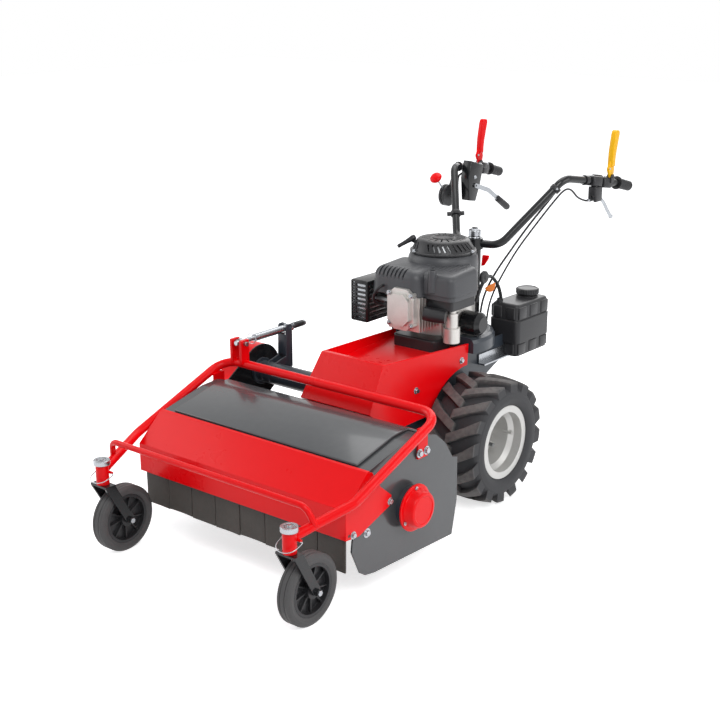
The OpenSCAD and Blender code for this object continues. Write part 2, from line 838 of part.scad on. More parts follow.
// Red cover folded over the front, with a flange down each side
module front_cover() {
  top = deck_line()[0];
  slope = deck_line()[1] - top;
  line = [[cover_front_y + sheet_t, cover_bottom_z], [cover_front_y + sheet_t, cover_kink_z], top,
    top + unit(slope) * cover_lap];
  flange_size = [cover_flange_l, top[1] - cover_bottom_z];
  color("#e0161c") placed() difference() {
    union() {
      across(-deck_w / 2, deck_w / 2) polygon(sheet(line, -sheet_t));
      for (s = [-1, 1]) across(s > 0 ? plate_x : -deck_w / 2, s > 0 ? deck_w / 2 : -plate_x)
        polygon(place(cover_flange_shares, [cover_front_y, cover_bottom_z], flange_size));
    }
    rod([-deck_w, flap_y, flap_z], [deck_w, flap_y, flap_z], flap_rod_d + 2 * run_fit);
  }
}

// Rubber strips that swing together on a rod behind the cover's edge
module flap_curtain() {
  half = plate_x - plate_t - side_gap;
  pitch = 2 * half / flap_count;
  color("#3d3a38") placed() {
    rod([-deck_w / 2 + side_gap, flap_y, flap_z], [deck_w / 2 - side_gap, flap_y, flap_z], flap_rod_d);
    for (k = [0:flap_count - 1]) {
      x0 = -half + k * pitch + flap_slit / 2;
      x1 = x0 + pitch - flap_slit;
      rod([x0, flap_y, flap_z], [x1, flap_y, flap_z], flap_eye_d);
      translate([x0, flap_y + (k % 2) * flap_t / 2 - flap_t, flap_bottom_z])
        cube([x1 - x0, flap_t, flap_z - flap_bottom_z]);
    }
  }
}

// Rotor with its shaft, end discs, and ears with pins for two rows of flails
function flail_x(row, k) = let (pitch = (rotor_l - 2 * rotor_disc_t - flail_foot_w) / (flail_count - 1 / 2))
  -rotor_l / 2 + rotor_disc_t + flail_foot_w / 2 + (k + (row > 0 ? 1 / 2 : 0)) * pitch;
module rotor() {
  half = rotor_l / 2;
  cheek = flail_w / 2 + side_gap;
  right_end = -pulley_x - pulley_w;
  color("#4b4d50") placed() {
    rod([-half, rotor_y, rotor_z], [half, rotor_y, rotor_z], rotor_d);
    for (s = [-1, 1]) rod([s * half, rotor_y, rotor_z], [s * (half - rotor_disc_t), rotor_y, rotor_z],
        rotor_disc_d);
    rod([right_end, rotor_y, rotor_z], [plate_x + bearing_h, rotor_y, rotor_z], shaft_d);
    for (row = [-1, 1], k = [0:flail_count - 1]) translate([flail_x(row, k), rotor_y, rotor_z]) {
      for (s = [-1, 1]) across(s * (cheek + ear_t / 2) - ear_t / 2, s * (cheek + ear_t / 2) + ear_t / 2) {
        translate([row > 0 ? 0 : -pin_r, -ear_w / 2]) square([pin_r, ear_w]);
        translate([row * pin_r, 0]) circle(d = ear_w);
      }
      rod([-cheek - over, row * pin_r, 0], [cheek + over, row * pin_r, 0], flail_pin_d);
    }
  }
}

// One row of hammer flails hanging from their pins
module flails(row) {
  color("#5a5c5f") placed() for (k = [0:flail_count - 1])
    translate([flail_x(row, k), rotor_y + row * pin_r, rotor_z]) difference() {
      union() {
        rod([-flail_w / 2, 0, 0], [flail_w / 2, 0, 0], flail_eye_d);
        translate([-flail_w / 2, -flail_t / 2, -flail_l]) cube([flail_w, flail_t, flail_l]);
        translate([-flail_foot_w / 2, -flail_foot_t / 2, -flail_l]) cube([flail_foot_w, flail_foot_t,
            flail_foot_h]);
      }
      rod([-flail_w, 0, 0], [flail_w, 0, 0], flail_pin_d + 2 * run_fit);
    }
}
module flails_front() { flails(-1); }
module flails_rear() { flails(1); }

// Bearing housings on both side plates
module rotor_bearings() {
  color("#3a3c40") placed() for (x = [[plate_x, plate_x + bearing_h], [-guard_x, -plate_x]]) difference() {
    rod([x[0], rotor_y, rotor_z], [x[1], rotor_y, rotor_z], bearing_d);
    rod([x[0] - over, rotor_y, rotor_z], [x[1] + over, rotor_y, rotor_z], shaft_d + 2 * run_fit);
  }
}

module bearing_cover() {
  x0 = plate_x + bearing_h;
  hole = shaft_d + 2 * side_gap;
  color("#e0161c") placed() translate([x0, rotor_y, rotor_z]) rotate([0, 90, 0]) difference() {
    rotate_extrude($fn = 72) polygon([[0, 0], [cover_flange_d / 2, 0], [cover_flange_d / 2, cover_flange_t],
      [cover_cap_d / 2 + cover_lip, cover_flange_t], [cover_cap_d / 2, cover_flange_t + cover_lip],
      [cover_cap_d / 2, cover_cap_h - cover_lip / 2], [cover_cap_d / 2 - cover_lip / 2, cover_cap_h],
      [cover_cap_d / 2 - cover_lip * 2, cover_cap_h], [cover_cap_d / 2 - cover_lip * 3,
          cover_cap_h - cover_lip / 2],
      [0, cover_cap_h - cover_lip / 2]]);
    translate([0, 0, -over]) cylinder(d = hole, h = over + cover_flange_t);
  }
}

// Belt drive on the right side
function cross_at() = [cross_y, cross_z];
function rotor_at() = [rotor_y, rotor_z];
module guard_outline(inset) {
  belt_loop(rotor_at(), guard_r - inset, cross_at(), guard_r - inset);
}
module belt_guard_plate() {
  color("#232427") placed() difference() {
    across(-guard_x - guard_plate_t, -guard_x) guard_outline(0);
    rod([-deck_w, rotor_y, rotor_z], [-plate_x, rotor_y, rotor_z], shaft_d + 2 * side_gap);
    rod([-deck_w, cross_y, cross_z], [-plate_x, cross_y, cross_z], drive_shaft_d + 2 * side_gap);
  }
}
module belt_guard() {
  x1 = -guard_x - guard_plate_t;
  color("#e0161c") placed() difference() {
    across(x1 - guard_w + guard_plate_t, x1) guard_outline(0);
    across(x1 - guard_w + guard_plate_t + sheet_t, x1 + over) guard_outline(sheet_t);
  }
}
module drive_belt() {
  r1 = rotor_pulley_d / 2 - belt_t + seat_gap;
  r2 = drive_pulley_d / 2 - belt_t + seat_gap;
  x1 = -pulley_x - (pulley_w - belt_w) / 2;
  color("#1e1f21") placed() difference() {
    across(x1 - belt_w, x1) belt_loop(cross_at(), r2 + belt_t, rotor_at(), r1 + belt_t);
    across(x1 - belt_w - over, x1 + over) belt_loop(cross_at(), r2, rotor_at(), r1);
  }
}
// Grooved pulley about X, its inner face at x = 0
module pulley(d) {
  groove = (pulley_w - belt_w) / 2 - seat_gap;
  rotate([0, -90, 0]) rotate_extrude($fn = 72) polygon([[0, 0], [d / 2, 0], [d / 2, groove],
    [d / 2 - belt_t, groove], [d / 2 - belt_t, pulley_w - groove], [d / 2, pulley_w - groove], [d / 2,
        pulley_w],
    [0, pulley_w]]);
}
module drive_pulley() {
  color("#7e8185") placed() {
    translate([-pulley_x, cross_y, cross_z]) pulley(drive_pulley_d);
    rod([-pulley_x - pulley_w, cross_y, cross_z], [-cross_in_x - chassis_t, cross_y, cross_z],
        drive_shaft_d);
  }
}
module rotor_pulley() {
  color("#7e8185") placed() difference() {
    translate([-pulley_x, rotor_y, rotor_z]) pulley(rotor_pulley_d);
    rod([-deck_w, rotor_y, rotor_z], [-plate_x, rotor_y, rotor_z], shaft_d);
  }
}

// Tube that carries the drive shaft from the chassis to the guard, with the brace arm on it
module cross_tube() {
  arm_x = strut_x + clevis_gap / 2;
  foot = [cross_y, cross_z];
  top = [clevis_y, strut_z];
  across_arm = left_of(unit(top - foot)) * arm_w / 2;
  color("#353a43") placed() difference() {
    union() {
      rod([-guard_x, cross_y, cross_z], [-cross_in_x, cross_y, cross_z], cross_tube_d);
      for (x = [arm_x - clevis_gap - clevis_t, arm_x]) across(x, x + clevis_t) {
        polygon([foot + across_arm, foot - across_arm, top - across_arm / 2, top + across_arm / 2]);
        translate(top) circle(arm_w / 2);
      }
    }
    rod([-deck_w, cross_y, cross_z], [0, cross_y, cross_z], drive_shaft_d + 2 * run_fit);
    rod([-deck_w, clevis_y, strut_z], [0, clevis_y, strut_z], clevis_pin_d + 2 * seat_gap);
  }
}

// Hoop weldment: tube hoop, bumper bar, castor sleeves, lug plates and strut posts
function hoop_end() = [castor_spread / 2, stem_y, (sleeve_bottom_z + sleeve_top_z) / 2 + hoop_d / 3];
module hoop_frame() {
  path = [hoop_end(), hoop_kink, hoop_corner, other(hoop_corner), other(hoop_kink), other(hoop_end())];
  radii = [0, hoop_kink_r, hoop_bend_r, hoop_bend_r, hoop_kink_r, 0];
  slope = (hoop_corner[2] - hoop_kink[2]) / (hoop_corner[1] - hoop_kink[1]);
  lug_top = hoop_kink[2] + slope * (lug_plate_y - hoop_kink[1]);
  post_z = hoop_corner[2];
  color("#e0161c") placed() {
    difference() {
      union() {
        bent_tube(path, radii, hoop_d);
        for (s = [-1, 1]) translate([s * castor_spread / 2, stem_y, sleeve_bottom_z])
          cylinder(d = sleeve_d, h = sleeve_top_z - sleeve_bottom_z);
      }
      for (s = [-1, 1]) translate([s * castor_spread / 2, stem_y, 0]) {
        cylinder(d = stem_d + 2 * run_fit, h = deck_w);
      }
    }
    for (s = [-1, 1]) translate([s * castor_spread / 2, stem_y, 0])
      rod([-sleeve_d / 2 - keeper_out, stem_d / 2, keeper_z], [sleeve_d / 2 + keeper_out, stem_d / 2,
          keeper_z],
        keeper_d);
    bent_tube([bumper_foot, bumper_corner, other(bumper_corner), other(bumper_foot)],
      [0, bumper_bend_r, bumper_bend_r, 0], bumper_d);
    for (s = [-1, 1]) across(s > 0 ? plate_x : -hoop_x, s > 0 ? hoop_x : -plate_x) {
      translate([lug_plate_y - lug_plate_w / 2, lug_top - hoop_d / 2]) square([lug_plate_w, sheet_t * 2]);
    }
    for (s = [-1, 1]) across(s > 0 ? plate_x : -plate_x - sheet_t * 2, s > 0
        ? plate_x + sheet_t * 2 : -plate_x)
      translate([lug_plate_y - lug_plate_w / 2, lug_plate_z]) square([lug_plate_w,
          lug_top - hoop_d / 2 - lug_plate_z + sheet_t]);
    for (s = [-1, 1]) translate([strut_x + s * (post_gap + post_t) / 2 - post_t / 2,
        hoop_corner[1] - post_w / 2, post_z])
      difference() {
        cube([post_t, post_w, post_h]);
        translate([-over, post_w / 2, strut_z - post_z]) rotate([0, 90, 0])
          cylinder(d = strut_d + 2 * seat_gap, h = post_t + 2 * over);
      }
  }
}

// Zinc strut between the posts and the brace arm, with cross pins, clip rings and an end cap
module deck_strut() {
  y_pin = hoop_corner[1];
  reach = post_gap / 2 + post_t + keeper_out;
  arm_reach = clevis_gap / 2 + clevis_t + keeper_out;
  color("#c3c7cb") placed() translate([strut_x, 0, strut_z]) {
    rod([0, strut_front_y, 0], [0, strut_cap_y[0], 0], strut_d);
    rod([0, strut_sleeve_y[0], 0], [0, strut_sleeve_y[1], 0], strut_sleeve_d);
    rod([0, strut_cap_y[0], 0], [0, strut_cap_y[1], 0], strut_cap_d);
    rod([-reach, y_pin, 0], [reach, y_pin, 0], strut_d);
    rod([0, y_pin, 0], [0, y_pin + strut_sleeve_d / 2, 0], strut_sleeve_d);
    rod([-clevis_gap / 2 + seat_gap, clevis_y, 0], [clevis_gap / 2 - seat_gap, clevis_y, 0],
        strut_sleeve_d);
    rod([-arm_reach, clevis_y, 0], [arm_reach, clevis_y, 0], clevis_pin_d);
  }
}

// Bonnet: folded sheet, open behind and below, with arches over the wheels
function bonnet_side(s, inset, tail) = let (
    half = function (w) s * (w / 2 - inset))
  [[half(bonnet_low_w), bonnet_front_y + inset, bonnet_front_z - (inset > 0 ? over : 0)],
    [half(bonnet_front_w), bonnet_top_y + inset, bonnet_top_z - inset],
    [half(bonnet_rear_w), bonnet_rear_y + tail, bonnet_rear_z - inset],
    [half(bonnet_tail_w), bonnet_rear_y + tail, bonnet_low_z - tail],
    [half(bonnet_tail_w), bonnet_low_y, bonnet_low_z - tail]];
module bonnet() {
  color("#e0161c") placed() difference() {
    loft(bonnet_side(-1, 0, 0), bonnet_side(1, 0, 0));
    loft(bonnet_side(-1, bonnet_t, over), bonnet_side(1, bonnet_t, over));
    rod([-chassis_w, arch_y, arch_z], [chassis_w, arch_y, arch_z], 2 * arch_r);
    translate([-chassis_w, arch_y, 0]) cube([2 * chassis_w, arch_r, arch_z + arch_r]);
    rod([-chassis_w, cross_y, cross_z], [0, cross_y, cross_z], cross_tube_d + 2 * seat_gap);
  }
}

// Chassis plates from the deck's rear to the handlebar post, with their cross plates
function chassis_outline() = let (d = deck_line())
  [d[3], [bonnet_low_y + chassis_t, d[3][1]], [cross_y + cross_tube_d, cross_z + cross_tube_d / 2],
    [engine_y - case_r, chassis_top_z], [chassis_rear_y, chassis_top_z],
    [chassis_rear_y, chassis_top_z - neck_w / 2], [case_r, axle_z + case_r], [case_r, axle_z - case_r / 2],
    [-case_r, axle_z - case_r / 2], [-case_r - case_r, axle_z + case_r / 2], d[5], d[4]];
module chassis_frame() {
  half = chassis_w / 2;
  color("#3c434d") placed() difference() {
    union() {
      for (s = [-1, 1]) across(s > 0 ? half - chassis_t : -half, s > 0 ? half : -half + chassis_t)
        polygon(chassis_outline());
      translate([-half, post_y - post_d, post_foot_z - chassis_t]) cube([chassis_w,
          chassis_rear_y - post_y + post_d, chassis_t]);
      for (s = [-1, 1], b = bonnet_bolts)
        rod([s * (half - chassis_t), b[0], b[1]], [s * (bonnet_rear_w / 2 + bonnet_t), b[0], b[1]],
            bonnet_bolt_d);
      across(-half, half) polygon(sheet([deck_line()[4] + [sheet_t * 2, 0],
          deck_line()[5] + [sheet_t * 2, 0]], -chassis_t));
    }
    rod([-deck_w, 0, axle_z], [deck_w, 0, axle_z], trumpet_d + 2 * seat_gap);
    rod([-half - over, cross_y, cross_z], [half + over, cross_y, cross_z], drive_shaft_d + 2 * side_gap);
  }
}

// Gearbox casting between the plates, with axle tubes and the clutch housing under the engine
module transaxle_housing() {
  half = chassis_w / 2 - chassis_t;
  end = track / 2 + rim_w / 2 - disc_inset - hub_flange_t - trumpet_end_gap;
  color("#343d4b") placed() difference() {
    union() {
      across(-half, half) {
        translate([0, axle_z]) circle(case_r);
        polygon([[-case_r, axle_z], [engine_y - neck_w / 2, neck_top_z], [engine_y + neck_w / 2,
            neck_top_z],
          [case_r, axle_z]]);
      }
      rod([-end, 0, axle_z], [end, 0, axle_z], trumpet_d);
      difference() {
        translate([0, engine_y, neck_top_z]) rotate_extrude($fn = 96) polygon([[0, 0], [clutch_d / 2, 0],
          [clutch_d / 2, engine_z - neck_top_z - clutch_round],
          [clutch_d / 2 - clutch_round / 3, engine_z - neck_top_z - clutch_round / 3],
          [clutch_d / 2 - clutch_round, engine_z - neck_top_z], [0, engine_z - neck_top_z]]);
        translate([-clutch_d, clutch_cut_y - clutch_d, 0]) cube([2 * clutch_d, clutch_d, engine_z + over]);
        translate([-clutch_d, post_y - post_d / 2 - side_gap, 0]) cube([2 * clutch_d, clutch_d,
            engine_z + over]);
      }
    }
    rod([-deck_w, 0, axle_z], [deck_w, 0, axle_z], axle_d + 2 * run_fit);
  }
}

// Engine
module engine_block() {
  color("#aeb1b3") placed() {
    translate([0, engine_y, engine_z]) cylinder(d = case_d, h = case_h, $fn = 72);
    difference() {
      union() {
        translate([-barrel_w / 2, barrel_y[0], barrel_z - barrel_w / 2])
          cube([barrel_w, barrel_y[1] - barrel_y[0], barrel_w]);
        for (k = [0:fin_count - 1]) {
          y = barrel_y[0] + k * (barrel_y[1] - barrel_y[0] - fin_t) / (fin_count - 1);
          translate([-fin_w / 2, y, barrel_z - fin_h / 2]) cube([fin_w, fin_t, fin_h]);
        }
      }
      translate([filter_x[0] - seat_gap, barrel_y[0] - over, filter_z[0] - seat_gap])
        cube([fin_w, barrel_y[1] - barrel_y[0] + 2 * over, fin_h]);
    }
    translate([filler_at[0], filler_at[1], engine_z]) {
      cylinder(d = filler_d, h = filler_h);
      cylinder(d = filler_d * 4 / 3, h = filler_h / 2);
      translate([0, 0, filler_h]) cylinder(d = filler_d * 3 / 4, h = filler_d / 4);
    }
    hull() {
      translate([filler_at[0], filler_at[1], engine_z]) cylinder(d = filler_d, h = filler_d);
      translate([0, engine_y, engine_z]) cylinder(d = filler_d, h = filler_d);
    }
  }
}
// Octagonal valve cover seen from the front, centred on its middle
module valve_outline(share) {
  w = valve_w * share / 2;
  h = valve_h * share / 2;
  c = valve_w * valve_chamfer_share * share;
  polygon([[c - w, -h], [w - c, -h], [w, c - h], [w, h - c], [w - c, h], [c - w, h], [-w, h - c], [-w,
      c - h]]);
}
module valve_cover() {
  color("#c4c6c8") placed() translate([0, barrel_y[0], barrel_z]) rotate([90, 0, 0]) {
    linear_extrude(valve_depth) valve_outline(1);
    linear_extrude(valve_depth + valve_raise) valve_outline(valve_raise_share);
    for (x = [-1, 1], y = [-1, 1])
      translate([x * (valve_w / 2 - valve_bolt_d), y * (valve_h / 2 - valve_bolt_d * 2), 0])
        cylinder(d = valve_bolt_d * 3 / 2, h = valve_depth + valve_bolt_d / 3);
  }
}
// Plan of the shroud at one height: a front box over the cylinder and a round rear over the fan
function shroud_ring(inset, z) = let (
    r = case_d / 2 + shroud_wall - inset,
    c = shroud_round - inset,
    right = shroud_x[1] - inset,
    front = shroud_y + inset,
    arc = function (at, rad, from, to, steps)
      [for (i = [0:steps]) let (a = from + (to - from) * i / steps) [at[0] + rad * cos(a),
          at[1] + rad * sin(a), z]])
  concat(arc([c - r, front + c], c, 180, 270, arc_steps), arc([right - c, front + c], c, 270, 360,
      arc_steps),
    arc([0, engine_y], r, -acos(right / r), 180, arc_steps * 4));
module blower_shroud() {
  low = shroud_z[0];
  high = shroud_z[1];
  rings = concat([shroud_ring(0, low)], [for (k = [0:shroud_tiers]) let (a = 90 * k / shroud_tiers)
    shroud_ring(shroud_drop * shroud_inset_share * (1 - cos(a)), high - shroud_drop * (1 - sin(a)))]);
  color("#4a4b50") placed() difference() {
    stack(rings);
    translate([-fin_w / 2 - over, barrel_y[0] - valve_depth * 2, low - over])
      cube([fin_w + 2 * over, barrel_y[1] - barrel_y[0] + valve_depth * 2,
          barrel_z + fin_h / 2 - low + 2 * over]);
    translate([filter_x[0] - seat_gap, filter_y[0] - 2 * over, low - over])
      cube([filter_x[1], filter_y[1] - filter_y[0] + 2 * over + seat_gap, high - low + 2 * over]);
    for (k = [0:louvre_count - 1])
      translate([shroud_x[0] + shroud_round + k * louvre_w * 3, shroud_y - over,
          high - shroud_drop - louvre_l / 2])
        cube([louvre_w, louvre_depth, louvre_l / 3]);
  }
}
module recoil_cover() {
  wall = recoil_wall;
  r = recoil_d / 2;
  top_r = recoil_top_d / 2;
  color("#2a2b2e") placed() translate([0, engine_y, shroud_z[1]]) difference() {
    union() {
      rotate_extrude($fn = 72) polygon([[r + recoil_lip / 2, 0], [r + recoil_lip / 2, recoil_lip], [r,
          recoil_lip],
        [top_r + recoil_lip, recoil_h], [top_r, recoil_h + recoil_lip / 2], [0, recoil_h + recoil_lip],
        [0, recoil_h + recoil_lip - wall], [top_r - wall, recoil_h + recoil_lip / 2 - wall],
        [top_r + recoil_lip - 2 * wall, recoil_h - wall], [r - wall, recoil_lip], [r - wall, 0]]);
    }
    for (k = [0:recoil_slots - 1]) rotate(360 * k / recoil_slots) translate([r - recoil_lip, 0,
        recoil_h * 5 / 9])
      rotate([recoil_slot_tilt, 0, 0]) cube([recoil_lip * 6, recoil_slot_w, recoil_h / 2], center = true);
  }
}
// Starter port and pull grip on the recoil cover's flank
module recoil_grip() {
  axis = unit([recoil_port[0], recoil_port[1] - engine_y, 0]);
  along = left_of(axis);
  out = recoil_port + axis * recoil_port_l;
  tilt = [along[0], along[1], 0];
  color("#1d1e20") placed() {
    rod(recoil_port - axis * (recoil_port_l * 2 / 3), out, grip_neck_d);
    rod(out - tilt * grip_bar_l / 2, out + tilt * grip_bar_l / 2, grip_bar_d);
  }
}
module air_filter_cover() {
  r = filter_round;
  color("#45464b") placed() hull() for (x = [filter_x[0] + r, filter_x[1] - r], y = [filter_y[0] + r,
      filter_y[1] - r]) {
    translate([x, y, filter_z[0]]) cylinder(r = r, h = r / 2, $fn = 32);
    translate([x - filter_lean * sign(x - filter_x[0] - r * 2), y, filter_z[1] - r]) sphere(r = r,
        $fn = 32);
  }
}
module air_filter_base() {
  i = base_inset;
  size = [filter_x[1] - filter_x[0] - 2 * i, filter_y[1] - filter_y[0] - 2 * i];
  color("#232427") placed() {
    difference() {
      translate([filter_x[0] + i, filter_y[0] + i, filter_z[0] - base_h]) linear_extrude(base_h)
        round_rect(size, filter_round / 2);
      translate([0, engine_y, engine_z]) cylinder(d = case_d + 2 * seat_gap, h = filter_z[1] - engine_z);
      translate([0, barrel_y[0], engine_z]) cube([fin_w / 2 + seat_gap, barrel_y[1] - barrel_y[0],
          filter_z[1] - engine_z]);
    }
    rod(duct_from, duct_to, duct_d);
    rod([duct_to[0] - duct_d * 2 / 3, duct_to[1] + duct_d / 3, duct_to[2]],
      [duct_to[0] - duct_d * 2 / 3, duct_to[1] + duct_d / 3, filter_z[0] - base_h / 2], duct_d * 2 / 3);
  }
}
module carburettor() {
  color("#b3b5b6") placed() {
    translate(carb_at) cube(carb_size);
    rod(carb_at + [carb_size[0] / 2, carb_size[1] / 2, -carb_size[2] / 2],
      carb_at + [carb_size[0] / 2, carb_size[1] / 2, 0], carb_size[0] * 2 / 3);
  }
}
module oil_filter() {
  r = oil_filter_d / 2;
  color("#1f2023") placed() translate([oil_filter_x[0], oil_filter_at[0], oil_filter_at[1]]) rotate([0,
      90, 0])
    rotate_extrude($fn = 64) polygon([[0, 0], [r, 0], [r, oil_filter_x[1] - oil_filter_x[0] - r / 3],
      [r * 2 / 3, oil_filter_x[1] - oil_filter_x[0]], [0, oil_filter_x[1] - oil_filter_x[0]]]);
}
module muffler() {
  a = guard_wall + guard_air;
  size = [muffler_x[1] - muffler_x[0] - 2 * a, muffler_z[1] - muffler_z[0] - 2 * a];
  color("#3a3b3d") placed() {
    translate([muffler_x[0] + a, muffler_y[1] - a, muffler_z[0] + a]) rotate([90, 0, 0])
      linear_extrude(muffler_y[1] - muffler_y[0] - 2 * a) round_rect(size, size[0] / 3);
    rod([muffler_x[1] - a, barrel_y[0] / 2, barrel_z], [-fin_w / 2, barrel_y[0] / 2, barrel_z], pipe_d);
    rod([muffler_x[0] + a + size[0] / 2, barrel_y[0] / 3, muffler_z[0] + guard_wall],
      [muffler_x[0] + a + size[0] / 2, barrel_y[0] / 3, muffler_z[1] - guard_wall], pipe_d / 2);
  }
}
module muffler_guard() {
  w = muffler_x[1] - muffler_x[0];
  l = muffler_y[1] - muffler_y[0];
  h = muffler_z[1] - muffler_z[0];
  pitch = (h - 4 * guard_air) / guard_slots;
  color("#17181a") placed() translate([muffler_x[0], muffler_y[0], muffler_z[0]]) difference() {
    linear_extrude(h) round_rect([w, l], guard_air * 2);
    translate([0, 0, guard_wall]) linear_extrude(h - 2 * guard_wall)
      translate([guard_wall, guard_wall]) round_rect([w - 2 * guard_wall, l - 2 * guard_wall], guard_air);
    for (k = [0:guard_slots - 1]) translate([0, 0, 2 * guard_air + k * pitch]) {
      translate([w / 4, -over, 0]) cube([w / 2, guard_air * 2, pitch * guard_slot_share]);
      for (m = [0:2]) translate([-over, l / 12 + m * l * 2 / 7, 0]) cube([guard_air * 2, l / 5,
          pitch * guard_slot_share]);
    }
    translate([w - guard_air, barrel_y[0] / 2 - muffler_y[0], barrel_z - muffler_z[0]]) rotate([0, 90, 0])
      cylinder(d = pipe_d + 2 * seat_gap, h = guard_air * 2);
  }
}
module spark_plug_lead() {
  n = len(lead_route) - 1;
  color("#18191b") placed() {
    cord(smooth(lead_route, 2), lead_d);
    rod([-fin_w / 2 - boot_d * 3 / 2, lead_route[n][1], lead_route[n][2]],
      [-fin_w / 2, lead_route[n][1], lead_route[n][2]], boot_d);
  }
}

module fuel_tank() {
  band = tank_h * tank_band_share;
  low = (tank_h - band) / 2;
  size = [tank_w, tank_l];
  inner = [tank_w - 2 * tank_rib, tank_l - 2 * tank_rib];
  cap_at = [tank_at[0] + tank_w / 2, tank_at[1] + tank_l - tank_w / 2, tank_at[2] + tank_h];
  color("#1b1c1f") placed() {
    translate([tank_at[0] + tank_rib, tank_at[1] + tank_rib, tank_at[2]]) linear_extrude(tank_h)
        round_rect(inner, tank_round);
    translate([tank_at[0], tank_at[1], tank_at[2] + low]) linear_extrude(band) round_rect(size, tank_round);
    for (k = [0:tank_ribs - 1], z = [tank_rib_h / 2, tank_h - low]) {
      gap = (low - tank_rib_h) / (tank_ribs - 1 / 2);
      translate([tank_at[0], tank_at[1], tank_at[2] + z + k * gap]) linear_extrude(gap / 2)
          round_rect(size, tank_round);
    }
    translate(cap_at) cylinder(d = neck_d, h = neck_h);
  }
}
module fuel_cap() {
  cap_at = [tank_at[0] + tank_w / 2, tank_at[1] + tank_l - tank_w / 2,
      tank_at[2] + tank_h + neck_h + seat_gap];
  color("#151618") placed() translate(cap_at) {
    cylinder(d = cap_d, h = cap_h - cap_h / 5);
    cylinder(d = cap_d - cap_h / 3, h = cap_h);
    for (k = [0:11]) rotate(30 * k) translate([cap_d / 2, 0, 0]) cylinder(d = cap_h / 3,
        h = cap_h - cap_h / 4, $fn = 16);
  }
}
module tank_bracket() {
  color("#b9bdc1") placed() difference() {
    union() {
      translate([bracket_x[0], bracket_front_y, tank_at[2] - bracket_t])
        cube([bracket_x[1] - bracket_x[0], tank_at[1] + tank_l - bracket_front_y, bracket_t]);
      translate([chassis_w / 2, bracket_front_y, tank_at[2] - bracket_t])
        cube([bracket_t, chassis_rear_y - bracket_front_y, arm_w]);
    }
    translate([0, bracket_front_y - over, tank_at[2] - bracket_t - over])
      cube([chassis_w / 2, chassis_rear_y - bracket_front_y + over + seat_gap, bracket_t + 2 * over]);
  }
}
module fuel_hose() {
  color("#202124") placed() cord(smooth(hose_route, 3), hose_d);
}

// Handlebar post on the chassis, its pivot and its clamp knob
module handlebar_post() {
  color("#2a2b2f") placed() translate([0, post_y, 0]) {
    translate([0, 0, post_foot_z]) cylinder(d = post_d, h = head_z - seat_gap - post_foot_z);
    translate([0, 0, head_z - seat_gap - over]) cylinder(d = pivot_d, h = head_h + 2 * seat_gap + 2 * over);
    translate([0, 0, head_z + head_h + seat_gap]) {
      cylinder(d = knob_post_d, h = knob_post_h);
      cylinder(d = pivot_d, h = knob_post_h + pivot_d / 3);
    }
  }
}
// Points of one side of the handlebar
function bar_path() = [bar_start, bar_low, bar_top, bar_flange, bar_end];
// Place on the bar's upper run at a distance forward along Y
function on_bar(y) = bar_top + (bar_flange - bar_top) * (y - bar_top[1]) / (bar_flange[1] - bar_top[1]);
module handlebar() {
  radii = [0, bar_low_r, bar_top_r, bar_low_r, 0];
  color("#18191b") placed() {
    difference() {
      union() {
        translate([0, post_y, head_z]) cylinder(d = head_d, h = head_h);
        bent_tube(bar_path(), radii, bar_d);
        bent_tube([for (p = bar_path()) other(p)], radii, bar_d);
      }
      translate([0, post_y, head_z - over]) cylinder(d = pivot_d + 2 * run_fit, h = head_h + 2 * over);
    }
  }
}
module hand_grips() {
  dir = unit(bar_end - bar_flange);
  start = bar_end - dir * (grip_l - grip_flange_t / 2);
  tip = bar_end + dir * (grip_flange_t / 3);
  color("#232427") placed() for (s = [-1, 1]) mirror([s < 0 ? 1 : 0, 0, 0]) difference() {
    union() {
      rod(start, tip, grip_d);
      rod(start, start + dir * grip_flange_t, grip_flange_d);
    }
    rod(start - dir * over, bar_end + dir * run_fit, bar_d + 2 * run_fit);
  }
}

